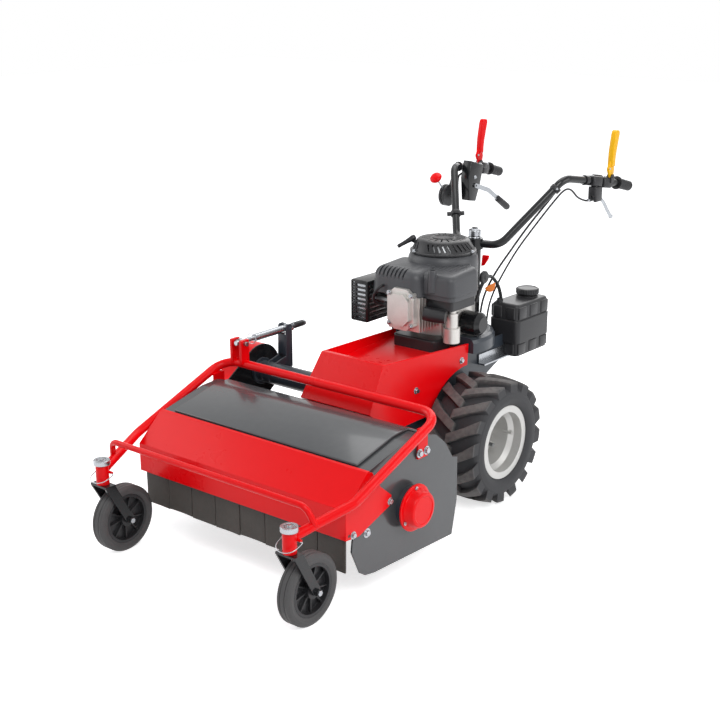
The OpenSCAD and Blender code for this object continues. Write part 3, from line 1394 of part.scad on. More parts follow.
// Brackets of the hand levers, the brake housing, the throttle housing and the cable clamps
module control_brackets() {
  y = lever_pivot[0];
  p = on_bar(y);
  dir = unit(bar_flange - bar_top);
  hole = bar_d + 2 * run_fit;
  cheek = lever_t / 2 + seat_gap;
  b = on_bar(brake_pivot[0]);
  t = on_bar(throttle_pivot[0] + 2 * clamp_l + over);
  brake_cheek = brake_t / 2 + seat_gap;
  brake_top = b[2] - brake_pivot[1] - bar_d / 5;
  color("#202124") placed() {
    for (s = [-1, 1]) mirror([s < 0 ? 1 : 0, 0, 0]) difference() {
      union() {
        rod(p - dir * bracket_l / 2, p + dir * bracket_l / 2, bracket_w);
        for (e = [-1, 1]) across(lever_x + e * (cheek + ear_t / 2) - ear_t / 2,
            lever_x + e * (cheek + ear_t / 2) + ear_t / 2) {
          translate([y - lever_w / 2, p[2]]) square([lever_w, lever_pivot[1] - p[2]]);
          translate(lever_pivot) circle(d = lever_w);
        }
      }
      rod(bar_top, bar_flange, hole);
      across(lever_x - cheek, lever_x + cheek) translate(lever_pivot) circle(d = lever_w + 4 * side_gap);
    }
    for (s = [-1, 1]) mirror([s < 0 ? 1 : 0, 0, 0]) rod([lever_x - cheek - ear_t, y, lever_pivot[1]],
      [lever_x + cheek + ear_t + over, y, lever_pivot[1]], lever_pin_d);
    difference() {
      union() {
        rod(b - dir * bracket_l / 3, b + dir * bracket_l / 3, bracket_w);
        for (e = [-1, 1]) across(brake_x + e * (brake_cheek + ear_t / 2) - ear_t / 2,
            brake_x + e * (brake_cheek + ear_t / 2) + ear_t / 2) {
          translate([brake_pivot[0] - brake_w, brake_pivot[1]]) square([brake_w * 2, brake_top]);
          translate(brake_pivot) circle(r = brake_w);
        }
        translate([brake_x - brake_cheek - ear_t / 2, brake_pivot[0] - brake_w + over,
            brake_pivot[1] + brake_w])
          cube([2 * brake_cheek + ear_t, 2 * brake_w - 2 * over, brake_top - brake_w - over]);
      }
      rod(bar_top, bar_flange, hole);
      across(brake_x - brake_cheek, brake_x + brake_cheek) translate(brake_pivot)
          circle(r = brake_w + 2 * side_gap);
    }
    rod([brake_x - brake_cheek - ear_t - over, brake_pivot[0], brake_pivot[1]],
      [brake_x + brake_cheek + ear_t + over, brake_pivot[0], brake_pivot[1]], lever_pin_d);
    difference() {
      union() {
        across(throttle_x - throttle_w / 2, throttle_x + throttle_w / 2) translate(throttle_pivot)
            circle(throttle_r);
        across(throttle_x + throttle_w / 2 - clamp_l / 4, throttle_x + throttle_w / 2)
          polygon([throttle_pivot + [-throttle_r / 2, 0], throttle_pivot + [throttle_r / 2, 0],
            [t[1] + clamp_l / 4, t[2]], [t[1], t[2]]]);
        mirror([1, 0, 0]) rod(t, t + dir * clamp_l / 4, clamp_d);
      }
      mirror([1, 0, 0]) rod(bar_top, bar_flange, hole);
      across(throttle_x - throttle_t / 2 - seat_gap, throttle_x + throttle_t / 2 + seat_gap)
        translate(throttle_pivot) circle(throttle_r + over);
    }
    rod([throttle_x - throttle_w / 2 - over, throttle_pivot[0], throttle_pivot[1]],
      [throttle_x + throttle_w / 2 + over, throttle_pivot[0], throttle_pivot[1]], lever_pin_d);
    for (s = [-1, 1]) mirror([s < 0 ? 1 : 0, 0, 0]) difference() {
      rod(on_bar(bar_top[1] + clamp_l * 7) - dir * clamp_l / 2, on_bar(bar_top[1] + clamp_l * 7)
          + dir * clamp_l / 2, clamp_d);
      rod(bar_top, bar_flange, hole);
    }
  }
}

// Flat hand lever, flared at the tip, with a hooked heel
module hand_lever(side, tint) {
  y = lever_pivot[0];
  z = lever_pivot[1];
  tip_y = y + lever_l / 8;
  color(tint) placed() mirror([side < 0 ? 1 : 0, 0, 0]) difference() {
    across(lever_x - lever_t / 2, lever_x + lever_t / 2) difference() {
      union() {
        translate([y, z]) circle(d = lever_w);
        polygon([[y - lever_w / 2, z], [y + lever_w / 2, z], [y + lever_w / 2, z + lever_l / 2],
          [tip_y + lever_tip_w / 2, z + lever_l], [tip_y - lever_tip_w / 2, z + lever_l],
          [y - lever_w / 2, z + lever_l / 2]]);
      }
      translate([y, z]) circle(d = lever_pin_d + 2 * run_fit);
    }
  }
}
module clutch_lever() { hand_lever(-1, "#e0161c"); }
module blade_lever() { hand_lever(1, "#f2b705"); }

// Curved brake lever with a ball end
module brake_lever() {
  end = brake_pivot + [brake_l * 6 / 7, -brake_l * 5 / 8];
  mid = brake_pivot + [brake_l / 3, -brake_droop];
  color("#c3c7cb") placed() difference() {
    union() {
      across(brake_x - brake_t / 2, brake_x + brake_t / 2) {
        translate(brake_pivot) circle(d = brake_w);
        polygon([brake_pivot + [0, brake_w / 2], mid + [0, brake_w / 2], end + [0, brake_w / 2],
          end - [0, brake_w / 2], mid - [0, brake_w / 2], brake_pivot - [0, brake_w / 2]]);
      }
      translate([brake_x, end[0], end[1]]) sphere(d = brake_ball_d);
    }
    rod([0, brake_pivot[0], brake_pivot[1]], [2 * brake_x, brake_pivot[0], brake_pivot[1]],
        lever_pin_d + 2 * run_fit);
  }
}

// Selector box on the right bar, with the gear lever's pivot pin
module selector_box() {
  top = on_bar(selector_at[0] + selector_size[0] / 2);
  hole = bar_d + 2 * run_fit;
  color("#1c1d20") placed() {
    difference() {
      union() {
        across(selector_x[0], selector_x[1]) polygon(place(selector_shares, selector_at, selector_size));
        mirror([1, 0, 0]) rod(on_bar(selector_at[0]), on_bar(selector_at[0] + selector_size[0] * 2 / 3),
            clamp_d);
      }
      mirror([1, 0, 0]) rod(bar_top, bar_flange, hole);
    }
    rod([selector_x[1] - over, gear_pivot[0], gear_pivot[1]],
      [selector_x[1] + side_gap + gear_t + side_gap, gear_pivot[0], gear_pivot[1]], lever_pin_d);
  }
}
module gear_lever() {
  x0 = selector_x[1] + side_gap;
  bend = gear_pivot + [gear_l / 3, -gear_droop];
  end = gear_pivot + [gear_l * 6 / 7, -gear_l * 3 / 7];
  dir = unit(end - bend);
  side = left_of(dir) * gear_w / 2;
  first = left_of(unit(bend - gear_pivot)) * gear_w / 2;
  grip = end - dir * gear_grip_l;
  color("#c3c7cb") placed() difference() {
    union() {
      across(x0, x0 + gear_t) {
        translate(gear_pivot) circle(d = gear_w);
        polygon([gear_pivot + first, bend + first, end + side, end - side, bend - first,
            gear_pivot - first]);
      }
      rod([x0 + gear_t / 2, grip[0], grip[1]], [x0 + gear_t / 2, end[0], end[1]], gear_grip_d);
    }
    rod([2 * selector_x[0], gear_pivot[0], gear_pivot[1]], [0, gear_pivot[0], gear_pivot[1]],
        lever_pin_d + 2 * run_fit);
  }
}
// Throttle arm with its oval knob
module throttle_lever() {
  end = throttle_pivot + [-throttle_l * 5 / 7, throttle_l * 5 / 7];
  dir = unit(end - throttle_pivot);
  side = left_of(dir) * throttle_arm_w / 2;
  color("#c3c7cb") placed() difference() {
    union() {
      across(throttle_x - throttle_t / 2, throttle_x + throttle_t / 2) {
        translate(throttle_pivot) circle(d = throttle_arm_w * 2);
        polygon([throttle_pivot + side, end + side, end - side, throttle_pivot - side]);
      }
      rod([throttle_x - throttle_knob_w / 2, end[0], end[1]], [throttle_x + throttle_knob_w / 2, end[0],
          end[1]], throttle_knob_d);
    }
    rod([2 * throttle_x, throttle_pivot[0], throttle_pivot[1]], [0, throttle_pivot[0],
        throttle_pivot[1]], lever_pin_d + 2 * run_fit);
  }
}
module control_cables() {
  color("#18191b") placed() {
    cord(smooth(left_cable, 4), cable_d);
    cord(smooth(right_cable, 4), cable_d);
  }
}

chassis_frame();
transaxle_housing();
bonnet();
engine_block();
valve_cover();
blower_shroud();
recoil_cover();
recoil_grip();
air_filter_cover();
air_filter_base();
muffler();
muffler_guard();
carburettor();
oil_filter();
spark_plug_lead();
tank_bracket();
fuel_tank();
fuel_cap();
fuel_hose();
handlebar_post();
cross_tube();
deck_strut();
deck_top();
side_plate_left();
side_plate_right();
front_cover();
hoop_frame();
rotor_bearings();
bearing_cover();
belt_guard();
belt_guard_plate();
drive_belt();
drive_pulley();
rotor();
rotor_pulley();
flails_front();
flails_rear();
flap_curtain();
tyre_left();
tyre_right();
rim_left();
rim_right();
axle_left();
axle_right();
castor_fork_left();
castor_fork_right();
castor_rim_left();
castor_rim_right();
castor_tyre_left();
castor_tyre_right();
handlebar();
hand_grips();
control_brackets();
clutch_lever();
blade_lever();
brake_lever();
selector_box();
gear_lever();
throttle_lever();
control_cables();
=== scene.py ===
import json
import math

import bmesh
import bpy
from mathutils import Matrix, Vector


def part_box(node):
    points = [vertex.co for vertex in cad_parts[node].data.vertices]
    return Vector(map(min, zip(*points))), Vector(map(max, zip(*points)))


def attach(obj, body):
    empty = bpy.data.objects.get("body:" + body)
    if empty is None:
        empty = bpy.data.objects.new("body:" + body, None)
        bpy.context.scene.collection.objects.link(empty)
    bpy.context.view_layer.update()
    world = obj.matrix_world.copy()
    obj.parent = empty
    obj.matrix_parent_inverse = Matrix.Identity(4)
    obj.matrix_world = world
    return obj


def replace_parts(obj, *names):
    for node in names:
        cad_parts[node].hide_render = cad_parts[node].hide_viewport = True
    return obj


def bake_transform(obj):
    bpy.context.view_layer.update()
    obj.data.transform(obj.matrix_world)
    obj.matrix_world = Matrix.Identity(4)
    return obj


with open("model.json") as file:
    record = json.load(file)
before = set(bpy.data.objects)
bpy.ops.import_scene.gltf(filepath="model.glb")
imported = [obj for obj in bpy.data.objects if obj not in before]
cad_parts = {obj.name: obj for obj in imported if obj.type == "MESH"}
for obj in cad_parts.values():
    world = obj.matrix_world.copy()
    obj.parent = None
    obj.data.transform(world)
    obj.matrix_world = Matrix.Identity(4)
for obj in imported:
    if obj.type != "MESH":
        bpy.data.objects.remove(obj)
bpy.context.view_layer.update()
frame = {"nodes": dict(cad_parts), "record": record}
NODES = frame["nodes"]

bl_info = {
    "name": "Walk-behind flail mower",
    "version": (1, 0, 0),
    "blender": (4, 5, 0),
    "location": "3D View > Sidebar > Mower",
    "description": "Dresses the mower's frame with finished pieces, paint, rubber and a studio",
    "category": "Object",
}

MM = 0.001
AXLE_Y = 0.126  # the rear axle's place along Y in the frame
UP = Vector((0, 0, 1))
ACROSS = Vector((1, 0, 0))  # towards the operator's left
CASTOR = (361.5, -1055)  # the left castor's stem, in millimetres from the rear axle's middle
ROTOR_LINE = (-605, 213)  # Y and Z of the rotor's axis, measured in the same way
CROSS_LINE = (-345, 385)  # Y and Z of the cross tube's axis
FINISHES = {}


def at(x, y, z):
    """A place given in millimetres from the rear axle's middle, on the ground, as a point of the frame."""
    return Vector((x * MM, y * MM + AXLE_Y, z * MM))


# The middle line of the handlebar's left half, from its head to its end
BAR = (at(18, 284, 758), at(87, 301, 758), at(223, 471, 973), at(264, 754, 928), at(270, 831.7, 908))


def mirrored(points):
    """The same points on the other side of the machine."""
    return [Vector((-p.x, p.y, p.z)) for p in points]


# Picking and finishing meshes


def leave_edit():
    """Go back to object mode."""
    if bpy.context.mode != "OBJECT":
        bpy.ops.object.mode_set(mode="OBJECT")


def start():
    """Leave edit mode and select nothing."""
    leave_edit()
    bpy.ops.object.select_all(action="DESELECT")


def only(obj):
    """Make one object the selected and active one."""
    start()
    obj.select_set(True)
    bpy.context.view_layer.objects.active = obj
    return obj


def edit(obj, mode="FACE"):
    """Open an object in edit mode to pick faces or edges, with nothing selected."""
    only(obj)
    bpy.ops.object.mode_set(mode="EDIT")
    bpy.ops.mesh.select_mode(type=mode)
    bpy.ops.mesh.select_all(action="DESELECT")
    return bmesh.from_edit_mesh(obj.data)


def pick_faces(obj, test):
    """Select the faces whose middle and normal pass the test, in edit mode."""
    mesh = edit(obj)
    for face in mesh.faces:
        face.select_set(bool(test(face.calc_center_median(), face.normal)))
    bmesh.update_edit_mesh(obj.data)


def pick_edges(obj, test):
    """Select the edges whose middle and direction pass the test, in edit mode."""
    mesh = edit(obj, "EDGE")
    for one in mesh.edges:
        a, b = one.verts[0].co, one.verts[1].co
        one.select_set(bool(test((a + b) / 2, (b - a).normalized())))
    bmesh.update_edit_mesh(obj.data)


def pick_rim(obj, above, steep=0.7):
    """Select the edges above a height where a lying face meets a standing one, in edit mode."""
    mesh = edit(obj, "EDGE")
    for one in mesh.edges:
        slopes = [face.normal.z for face in one.link_faces]
        one.select_set(all(v.co.z > above for v in one.verts) and max(slopes) > steep > min(slopes))
    bmesh.update_edit_mesh(obj.data)


def modify(obj, kind, **settings):
    """Add a modifier, set it and apply it."""
    only(obj)
    bpy.ops.object.modifier_add(type=kind)
    modifier = obj.modifiers[-1]
    for key, value in settings.items():
        setattr(modifier, key, value)
    bpy.ops.object.modifier_apply(modifier=modifier.name)
    return obj


def soften(obj, width, segments=2, angle=30):
    """Round the edges that turn more than the angle."""
    return modify(obj, "BEVEL", width=width, segments=segments, limit_method="ANGLE",
                  angle_limit=math.radians(angle), harden_normals=False, use_clamp_overlap=True)


def settle(obj, name, smooth=35):
    """Put the place into the mesh, close seams, turn the faces out and shade the curves smooth."""
    only(obj)
    bpy.ops.object.transform_apply(location=True, rotation=True, scale=True)
    bpy.ops.object.mode_set(mode="EDIT")
    bpy.ops.mesh.select_all(action="SELECT")
    bpy.ops.mesh.remove_doubles(threshold=1e-6)
    bpy.ops.mesh.normals_make_consistent(inside=False)
    return join(name, [obj], smooth)


def join(name, pieces, smooth=35):
    """Make one named object of its pieces and shade the curves smooth."""
    start()
    for piece in pieces:
        piece.select_set(True)
    whole = bpy.context.view_layer.objects.active = pieces[0]
    if len(pieces) > 1:
        bpy.ops.object.join()
    only(whole)
    bpy.ops.object.shade_smooth_by_angle(angle=math.radians(smooth))
    whole.name = whole.data.name = name
    return whole


def carve(obj, cutters):
    """Cut pieces out of an object and remove the cutters."""
    tool = join("cutter", cutters)
    modify(obj, "BOOLEAN", object=tool, operation="DIFFERENCE", solver="EXACT")
    bpy.data.objects.remove(tool)
    return obj


def mirror_of(obj, name):
    """A copy with its own mesh for the other side of the machine."""
    mesh = obj.data.copy()
    mesh.transform(Matrix.Diagonal((-1, 1, 1, 1)))
    twin = bpy.data.objects.new(name, mesh)
    bpy.context.collection.objects.link(twin)
    edit(twin)
    bpy.ops.mesh.select_all(action="SELECT")
    bpy.ops.mesh.flip_normals()
    leave_edit()
    return twin


def facing(axis):
    """The turn that takes Z to the axis."""
    return UP.rotation_difference(Vector(axis).normalized())


def tilt(degrees, axis):
    """A turn by degrees about one axis of the frame."""
    return Matrix.Rotation(math.radians(degrees), 3, axis)


def bar_turn(aside, along):
    """The turn that takes Y along a bar, and X as near to aside as the bar lets it."""
    across = (aside - along * aside.dot(along)).normalized()
    return Matrix((across, along, across.cross(along))).transposed()


def set_round(obj, foot, angle):
    """Turn a piece modelled at the origin about Z and carry it to its foot."""
    obj.data.transform(Matrix.Translation(foot) @ Matrix.Rotation(angle, 4, "Z"))
    return obj


# Shapes that pieces are made of


def plain_box(low, high):
    """A sharp box between two corners."""
    start()
    bpy.ops.mesh.primitive_cube_add(size=1, location=(low + high) / 2)
    obj = bpy.context.object
    obj.scale = [abs(s) for s in high - low]
    bpy.ops.object.transform_apply(location=True, rotation=True, scale=True)
    return obj


def block(name, low, high, round_r=0.002, segments=3):
    """A box with rounded edges."""
    return settle(soften(plain_box(Vector(low), Vector(high)), round_r, segments), name)


def turned_block(name, size, middle, turn, round_r):
    """A rounded box turned by a matrix and placed by its middle."""
    obj = block(name, -Vector(size) / 2, Vector(size) / 2, round_r)
    obj.data.transform(Matrix.Translation(middle) @ turn.to_4x4())
    return obj


def moulded(name, low, high, upright_r, top_r, taper=1.0, slope=0.0):
    """A moulded cover: a box whose top is drawn in and sloped, its upright and top edges well rounded."""
    middle = (low + high) / 2
    rounding = dict(segments=8, profile=0.5, affect="EDGES")
    obj = plain_box(low, high)
    pick_faces(obj, lambda c, n: n.z > 0.9)
    bpy.ops.transform.resize(value=(taper, taper, 1), center_override=(middle.x, middle.y, high.z))
    if slope:
        pick_edges(obj, lambda c, d: c.z > high.z - 1e-4 and c.y < middle.y - 1e-3 and abs(d.x) > 0.9)
        bpy.ops.transform.translate(value=(0, 0, -slope))
    pick_edges(obj, lambda c, d: abs(d.z) > 0.7)
    bpy.ops.mesh.bevel(offset=upright_r, **rounding)
    pick_rim(obj, middle.z)
    bpy.ops.mesh.bevel(offset=top_r, **rounding)
    return settle(obj, name, 50)


def wire(points):
    """A chain of edges drawn point by point, left in edit mode and selected."""
    start()
    bpy.ops.mesh.primitive_plane_add(size=0.001)
    obj = bpy.context.object
    bpy.ops.object.mode_set(mode="EDIT")
    bpy.ops.mesh.select_mode(type="VERT")
    bpy.ops.mesh.select_all(action="SELECT")
    bpy.ops.mesh.merge(type="CENTER")
    bpy.ops.transform.translate(value=points[0])
    for before, after in zip(points, points[1:]):
        bpy.ops.mesh.extrude_region_move(TRANSFORM_OT_translate={"value": after - before})
    bpy.ops.mesh.select_all(action="SELECT")
    return obj


def turned(name, profile, foot, axis=UP, steps=40, smooth=35):
    """A turned piece: (radius, height) pairs in metres, spun about an axis through its foot."""
    side, up = facing(axis) @ ACROSS, Vector(axis).normalized()
    obj = wire([foot + side * r + up * h for r, h in profile])
    bpy.ops.mesh.spin(steps=steps, angle=2 * math.pi, center=foot, axis=up)
    return settle(obj, name, smooth)


def plate(name, outline, thickness, round_r=0.0012, segments=2):
    """A flat piece: its outline's corners in order, pulled out by a vector."""
    obj = wire(outline)
    bpy.ops.mesh.edge_face_add()
    bpy.ops.mesh.extrude_region_move(TRANSFORM_OT_translate={"value": thickness})
    bpy.ops.mesh.select_all(action="SELECT")
    bpy.ops.mesh.normals_make_consistent(inside=False)
    if round_r:
        soften(obj, round_r, segments)
    return settle(obj, name)


def bent(points, radii, steps=10):
    """A path with its corners rounded to the radii."""
    path = [points[0]]
    for before, corner, after, radius in zip(points, points[1:], points[2:], radii):
        a, b = (before - corner).normalized(), (after - corner).normalized()
        half = a.angle(b) / 2
        reach = radius / math.tan(half)
        middle = corner + (a + b).normalized() * (radius / math.sin(half))
        one, two = corner + a * reach - middle, corner + b * reach - middle
        full = one.angle(two)
        for i in range(steps + 1):
            t = i / steps
            spoke = (one * math.sin((1 - t) * full) + two * math.sin(t * full)) / math.sin(full)
            path.append(middle + spoke)
    return path + [points[-1]]


def trimmed(path, first, last):
    """A path whose end legs are shortened by these shares."""
    return [path[0].lerp(path[1], first), *path[1:-1], path[-1].lerp(path[-2], last)]


def smooth_path(points, steps=6):
    """A smooth curve through the points."""
    ends = [points[0] * 2 - points[1], *points, points[-1] * 2 - points[-2]]
    path = []
    for p0, p1, p2, p3 in zip(ends, ends[1:], ends[2:], ends[3:]):
        for i in range(steps):
            t = i / steps
            path.append(0.5 * (2 * p1 + (p2 - p0) * t + (2 * p0 - 5 * p1 + 4 * p2 - p3) * t * t
                               + (3 * p1 - p0 - 3 * p2 + p3) * t * t * t))
    return path + [points[-1]]


def tube(name, path, radius, sides=16, closed=False):
    """A round bar or tube along a path."""
    start()
    curve = bpy.data.curves.new(name, "CURVE")
    curve.dimensions = "3D"
    spline = curve.splines.new("POLY")
    spline.points.add(len(path) - 1)
    for point, place in zip(spline.points, path):
        point.co = (*place, 1)
    spline.use_cyclic_u = closed
    curve.bevel_depth = radius
    curve.bevel_resolution = max(1, (sides - 4) // 2)
    curve.use_fill_caps = not closed
    obj = bpy.data.objects.new(name, curve)
    bpy.context.collection.objects.link(obj)
    only(obj)
    bpy.ops.object.convert(target="MESH")
    return settle(bpy.context.object, name, 50)


def run_through(name, route, radius, sides):
    """A cable or hose that runs smoothly through the route's places."""
    return tube(name, smooth_path([at(*place) for place in route]), radius, sides)


def hex_bolt(name, seat, axis, flats=0.013, head=0.0055, washer=0.024, turn=0.0):
    """A hexagon head with a domed crown, on a plain washer where one is given."""
    up = Vector(axis).normalized()
    washer_sunk, head_sunk = 0.0005, 0.0003
    pieces = []
    if washer:
        r, t = washer / 2, 0.0016
        profile = [(0, -washer_sunk), (r, -washer_sunk), (r, t * 0.7), (r - t * 0.3, t), (0, t)]
        pieces.append(turned("washer", profile, seat, up, 28))
        seat = seat + up * t
    start()
    bpy.ops.mesh.primitive_cylinder_add(vertices=6, radius=flats / math.sqrt(3), depth=head)
    obj = bpy.context.object
    pick_faces(obj, lambda c, n: n.z > 0.9)
    for inset, rise in ((0.07, 0.12), (0.22, -0.06)):
        bpy.ops.mesh.inset(thickness=flats * inset)
        bpy.ops.transform.translate(value=(0, 0, head * rise))
    soften(obj, flats * 0.04, 2, 25)
    place = Matrix.Translation(seat + up * (head / 2 - head_sunk))
    obj.data.transform(place @ facing(up).to_matrix().to_4x4() @ Matrix.Rotation(turn, 4, "Z"))
    pieces.append(settle(obj, "head", 30))
    return join(name, pieces, 30)


def seat_on(node, origin, aim):
    """Where a line from a point first meets a CAD node, and the surface's normal there."""
    hit, place, normal, _ = NODES[node].ray_cast(origin, aim)
    if not hit:
        raise RuntimeError(f"no surface of {node} from {tuple(origin)}")
    return place, normal


# Colours and finishes


def paint_tone(red, green, blue):
    """A colour written in display values from 0 to 255, as light."""
    tone = []
    for part in (red, green, blue):
        share = part / 255
        tone.append(share / 12.92 if share <= 0.04045 else ((share + 0.055) / 1.055) ** 2.4)
    return tuple(tone)


def colour_property(name, description, tone):
    """A colour that a user may change."""
    return bpy.props.FloatVectorProperty(name=name, description=description, subtype="COLOR", size=3,
                                         min=0.0, max=1.0, default=tone)


def length_property(name, description, value):
    """A length in metres that a user may change."""
    return bpy.props.FloatProperty(name=name, description=description, default=value, min=0.0, unit="LENGTH")


class MowerColours(bpy.types.PropertyGroup):
    """Colours of the paints, rubbers, plastics and metals."""

    red_paint: colour_property("Red paint", "Powder coat of the covers and the hoop", paint_tone(236, 3, 12))
    deck_grey: colour_property("Deck grey", "Paint of the deck panel and side plates", paint_tone(69, 71, 73))
    chassis_grey: colour_property("Chassis grey", "Paint of the chassis and clutch housing",
                                  paint_tone(47, 54, 62))
    black_paint: colour_property("Black paint", "Gloss paint of the handlebar and forks",
                                 paint_tone(27, 28, 30))
    zinc: colour_property("Zinc", "Plated fasteners and the strut", paint_tone(166, 169, 173))
    steel: colour_property("Steel", "Bare machined steel", paint_tone(150, 152, 154))
    cast_alloy: colour_property("Cast alloy", "Engine castings", paint_tone(198, 195, 191))
    rim_silver: colour_property("Rim silver", "Paint of the wheel rims", paint_tone(196, 195, 192))
    tyre_rubber: colour_property("Tyre rubber", "Sidewalls of the lug tyres", paint_tone(55, 55, 57))
    # The lighter brownish tone on the tread lugs' tops is a painted highlight
    lug_highlight: colour_property("Lug highlight", "Painted highlight on the tops of the tread lugs", paint_tone(106, 103, 101))
    castor_rubber: colour_property("Castor rubber", "Tyres of the castors", paint_tone(82, 81, 81))
    flap_rubber: colour_property("Flap rubber", "Hanging rubber strips", paint_tone(76, 72, 68))
    hose_rubber: colour_property("Hose rubber", "Hoses, cables and grips", paint_tone(34, 34, 36))
    shroud_grey: colour_property("Shroud grey", "Engine cowling plastic", paint_tone(66, 67, 70))
    black_plastic: colour_property("Black plastic", "Tank, guards and castor rims", paint_tone(43, 43, 45))
    yellow_paint: colour_property("Yellow paint", "Yellow hand lever", paint_tone(245, 184, 10))
    orange: colour_property("Orange", "Fuel tap lever", paint_tone(226, 120, 24))
    floor: colour_property("Floor", "Studio floor", (0.92, 0.92, 0.92))


class MowerSizes(bpy.types.PropertyGroup):
    """Sizes of the pieces that are added to the frame."""

    hoop_tube: length_property("Hoop tube", "Outside diameter of the front hoop", 0.0274)
    bumper_tube: length_property("Bumper tube", "Diameter of the bumper bar", 0.0174)
    bar_tube: length_property("Handlebar tube", "Outside diameter of the handlebar", 0.0264)
    cable: length_property("Cable", "Outside diameter of the control cables", 0.007)
    hose: length_property("Hose", "Outside diameter of the fuel hose", 0.012)
    lead: length_property("Spark lead", "Outside diameter of the spark plug lead", 0.009)
    bolt_flats: length_property("Bolt flats", "Width across the flats of the cover bolts", 0.013)
    edge: length_property("Edge radius", "Rounding that catches light on folded sheet", 0.0016)


MIX_COLOUR, MIX_TONE, MIX_RESULT = 6, 7, 2  # the Mix node's sockets for colours
DUST = (0.36, 0.33, 0.3)  # dry earth that settles on upward faces


def node_tools(tree):
    """Two functions: one adds a node with its values to the tree, the other links sockets."""

    def add(kind, **values):
        node = tree.nodes.new(kind)
        for key, value in values.items():
            if key in node.inputs:
                node.inputs[key].default_value = value
            else:
                setattr(node, key, value)
        return node

    return add, tree.links.new


def new_material(name):
    """A material, its shader and the tools for its nodes."""
    material = bpy.data.materials.new(name)
    material.use_nodes = True
    return material, first_node(material, "BSDF_PRINCIPLED"), *node_tools(material.node_tree)


def first_node(material, kind):
    """The node of a kind that a new material starts with."""
    return next(n for n in material.node_tree.nodes if n.type == kind)


def product(add, link, one, two):
    """Two sockets' values multiplied."""
    times = add("ShaderNodeMath", operation="MULTIPLY")
    link(one, times.inputs[0])
    link(two, times.inputs[1])
    return times.outputs["Value"]


def mixed_in(add, link, share, colour, tone):
    """A colour with a share of a plain tone mixed in."""
    mixed = add("ShaderNodeMix", data_type="RGBA")
    link(share, mixed.inputs["Factor"])
    link(colour, mixed.inputs[MIX_COLOUR])
    mixed.inputs[MIX_TONE].default_value = (*tone, 1)
    return mixed.outputs[MIX_RESULT]


def finish(name, tone, roughness, metallic=0.0, mottle=0.06, mottle_scale=5.0, grain=0.15, grain_scale=700.0,
           gloss_spread=0.06, coat=0.0, edge=0.0016, brushed=False, dust=0.0, shine=0.5):
    """A procedural finish: mottled colour, uneven gloss, grain, rounded edges and a little settled dust."""
    material, bsdf, add, link = new_material(name)
    place = add("ShaderNodeTexCoord").outputs["Object"]
    cloud = add("ShaderNodeTexNoise", Scale=mottle_scale, Detail=5.0, Roughness=0.6)
    spots = add("ShaderNodeTexNoise", Scale=mottle_scale * 14, Detail=3.0, Roughness=0.5)
    both = add("ShaderNodeMix", data_type="FLOAT", Factor=0.35)
    for noise, socket in ((cloud, "A"), (spots, "B")):
        link(place, noise.inputs["Vector"])
        link(noise.outputs["Fac"], both.inputs[socket])
    ramp = add("ShaderNodeValToRGB")
    link(both.outputs["Result"], ramp.inputs["Fac"])
    for number, position, share in ((0, 0.3, 1 - mottle), (1, 0.7, 1 + mottle)):
        stop = ramp.color_ramp.elements[number]
        stop.position = position
        stop.color = (*[min(1.0, max(0.0, c * share)) for c in tone], 1)
    colour = ramp.outputs["Color"]
    if dust:
        split = add("ShaderNodeSeparateXYZ")
        link(add("ShaderNodeNewGeometry").outputs["Normal"], split.inputs["Vector"])
        amount = add("ShaderNodeMapRange", **{"From Min": 0.2, "To Max": dust})
        link(split.outputs["Z"], amount.inputs["Value"])
        settled = product(add, link, amount.outputs["Result"], spots.outputs["Fac"])
        colour = mixed_in(add, link, settled, colour, DUST)
    link(colour, bsdf.inputs["Base Color"])
    gloss = add("ShaderNodeMapRange", **{"To Min": max(0.02, roughness - gloss_spread),
                                         "To Max": min(1.0, roughness + gloss_spread)})
    link(both.outputs["Result"], gloss.inputs["Value"])
    link(gloss.outputs["Result"], bsdf.inputs["Roughness"])
    bsdf.inputs["Metallic"].default_value = metallic
    bsdf.inputs["Coat Weight"].default_value = coat
    bsdf.inputs["Specular IOR Level"].default_value = shine
    bsdf.inputs["Coat Roughness"].default_value = 0.08
    fine = add("ShaderNodeTexNoise", Scale=grain_scale, Detail=3.0)
    if brushed:
        stretch = add("ShaderNodeMapping", Scale=(1.0, 0.05, 1.0))
        link(place, stretch.inputs["Vector"])
        place = stretch.outputs["Vector"]
    link(place, fine.inputs["Vector"])
    bump = add("ShaderNodeBump", Strength=grain, Distance=0.0006)
    link(fine.outputs["Fac"], bump.inputs["Height"])
    rounded = add("ShaderNodeBevel", samples=4, Radius=edge)
    link(rounded.outputs["Normal"], bump.inputs["Normal"])
    link(bump.outputs["Normal"], bsdf.inputs["Normal"])
    return material


def painted_tread_highlight(material, tone, axle, inner, outer):
    """Fade the finish's colour to a lighter tone, a painted highlight, in patches between two distances from
    an axle along X.
    """
    add, link = node_tools(material.node_tree)
    colour = first_node(material, "BSDF_PRINCIPLED").inputs["Base Color"]
    before = colour.links[0].from_socket
    place = add("ShaderNodeTexCoord").outputs["Object"]
    shift = add("ShaderNodeMapping", Location=(0, -axle.y, -axle.z), Scale=(0, 1, 1))
    link(place, shift.inputs["Vector"])
    far = add("ShaderNodeVectorMath", operation="LENGTH")
    link(shift.outputs["Vector"], far.inputs[0])
    share = add("ShaderNodeMapRange", **{"From Min": inner, "From Max": outer})
    link(far.outputs["Value"], share.inputs["Value"])
    # Noise breaks the painted highlight on the lug tops into patches
    highlight_patches = add("ShaderNodeTexNoise", Scale=60.0, Detail=4.0)
    link(place, highlight_patches.inputs["Vector"])
    lift = add("ShaderNodeMath", operation="MULTIPLY", use_clamp=True)
    link(product(add, link, share.outputs["Result"], highlight_patches.outputs["Fac"]), lift.inputs[0])
    lift.inputs[1].default_value = 1.7
    link(mixed_in(add, link, lift.outputs["Value"], before, tone), colour)


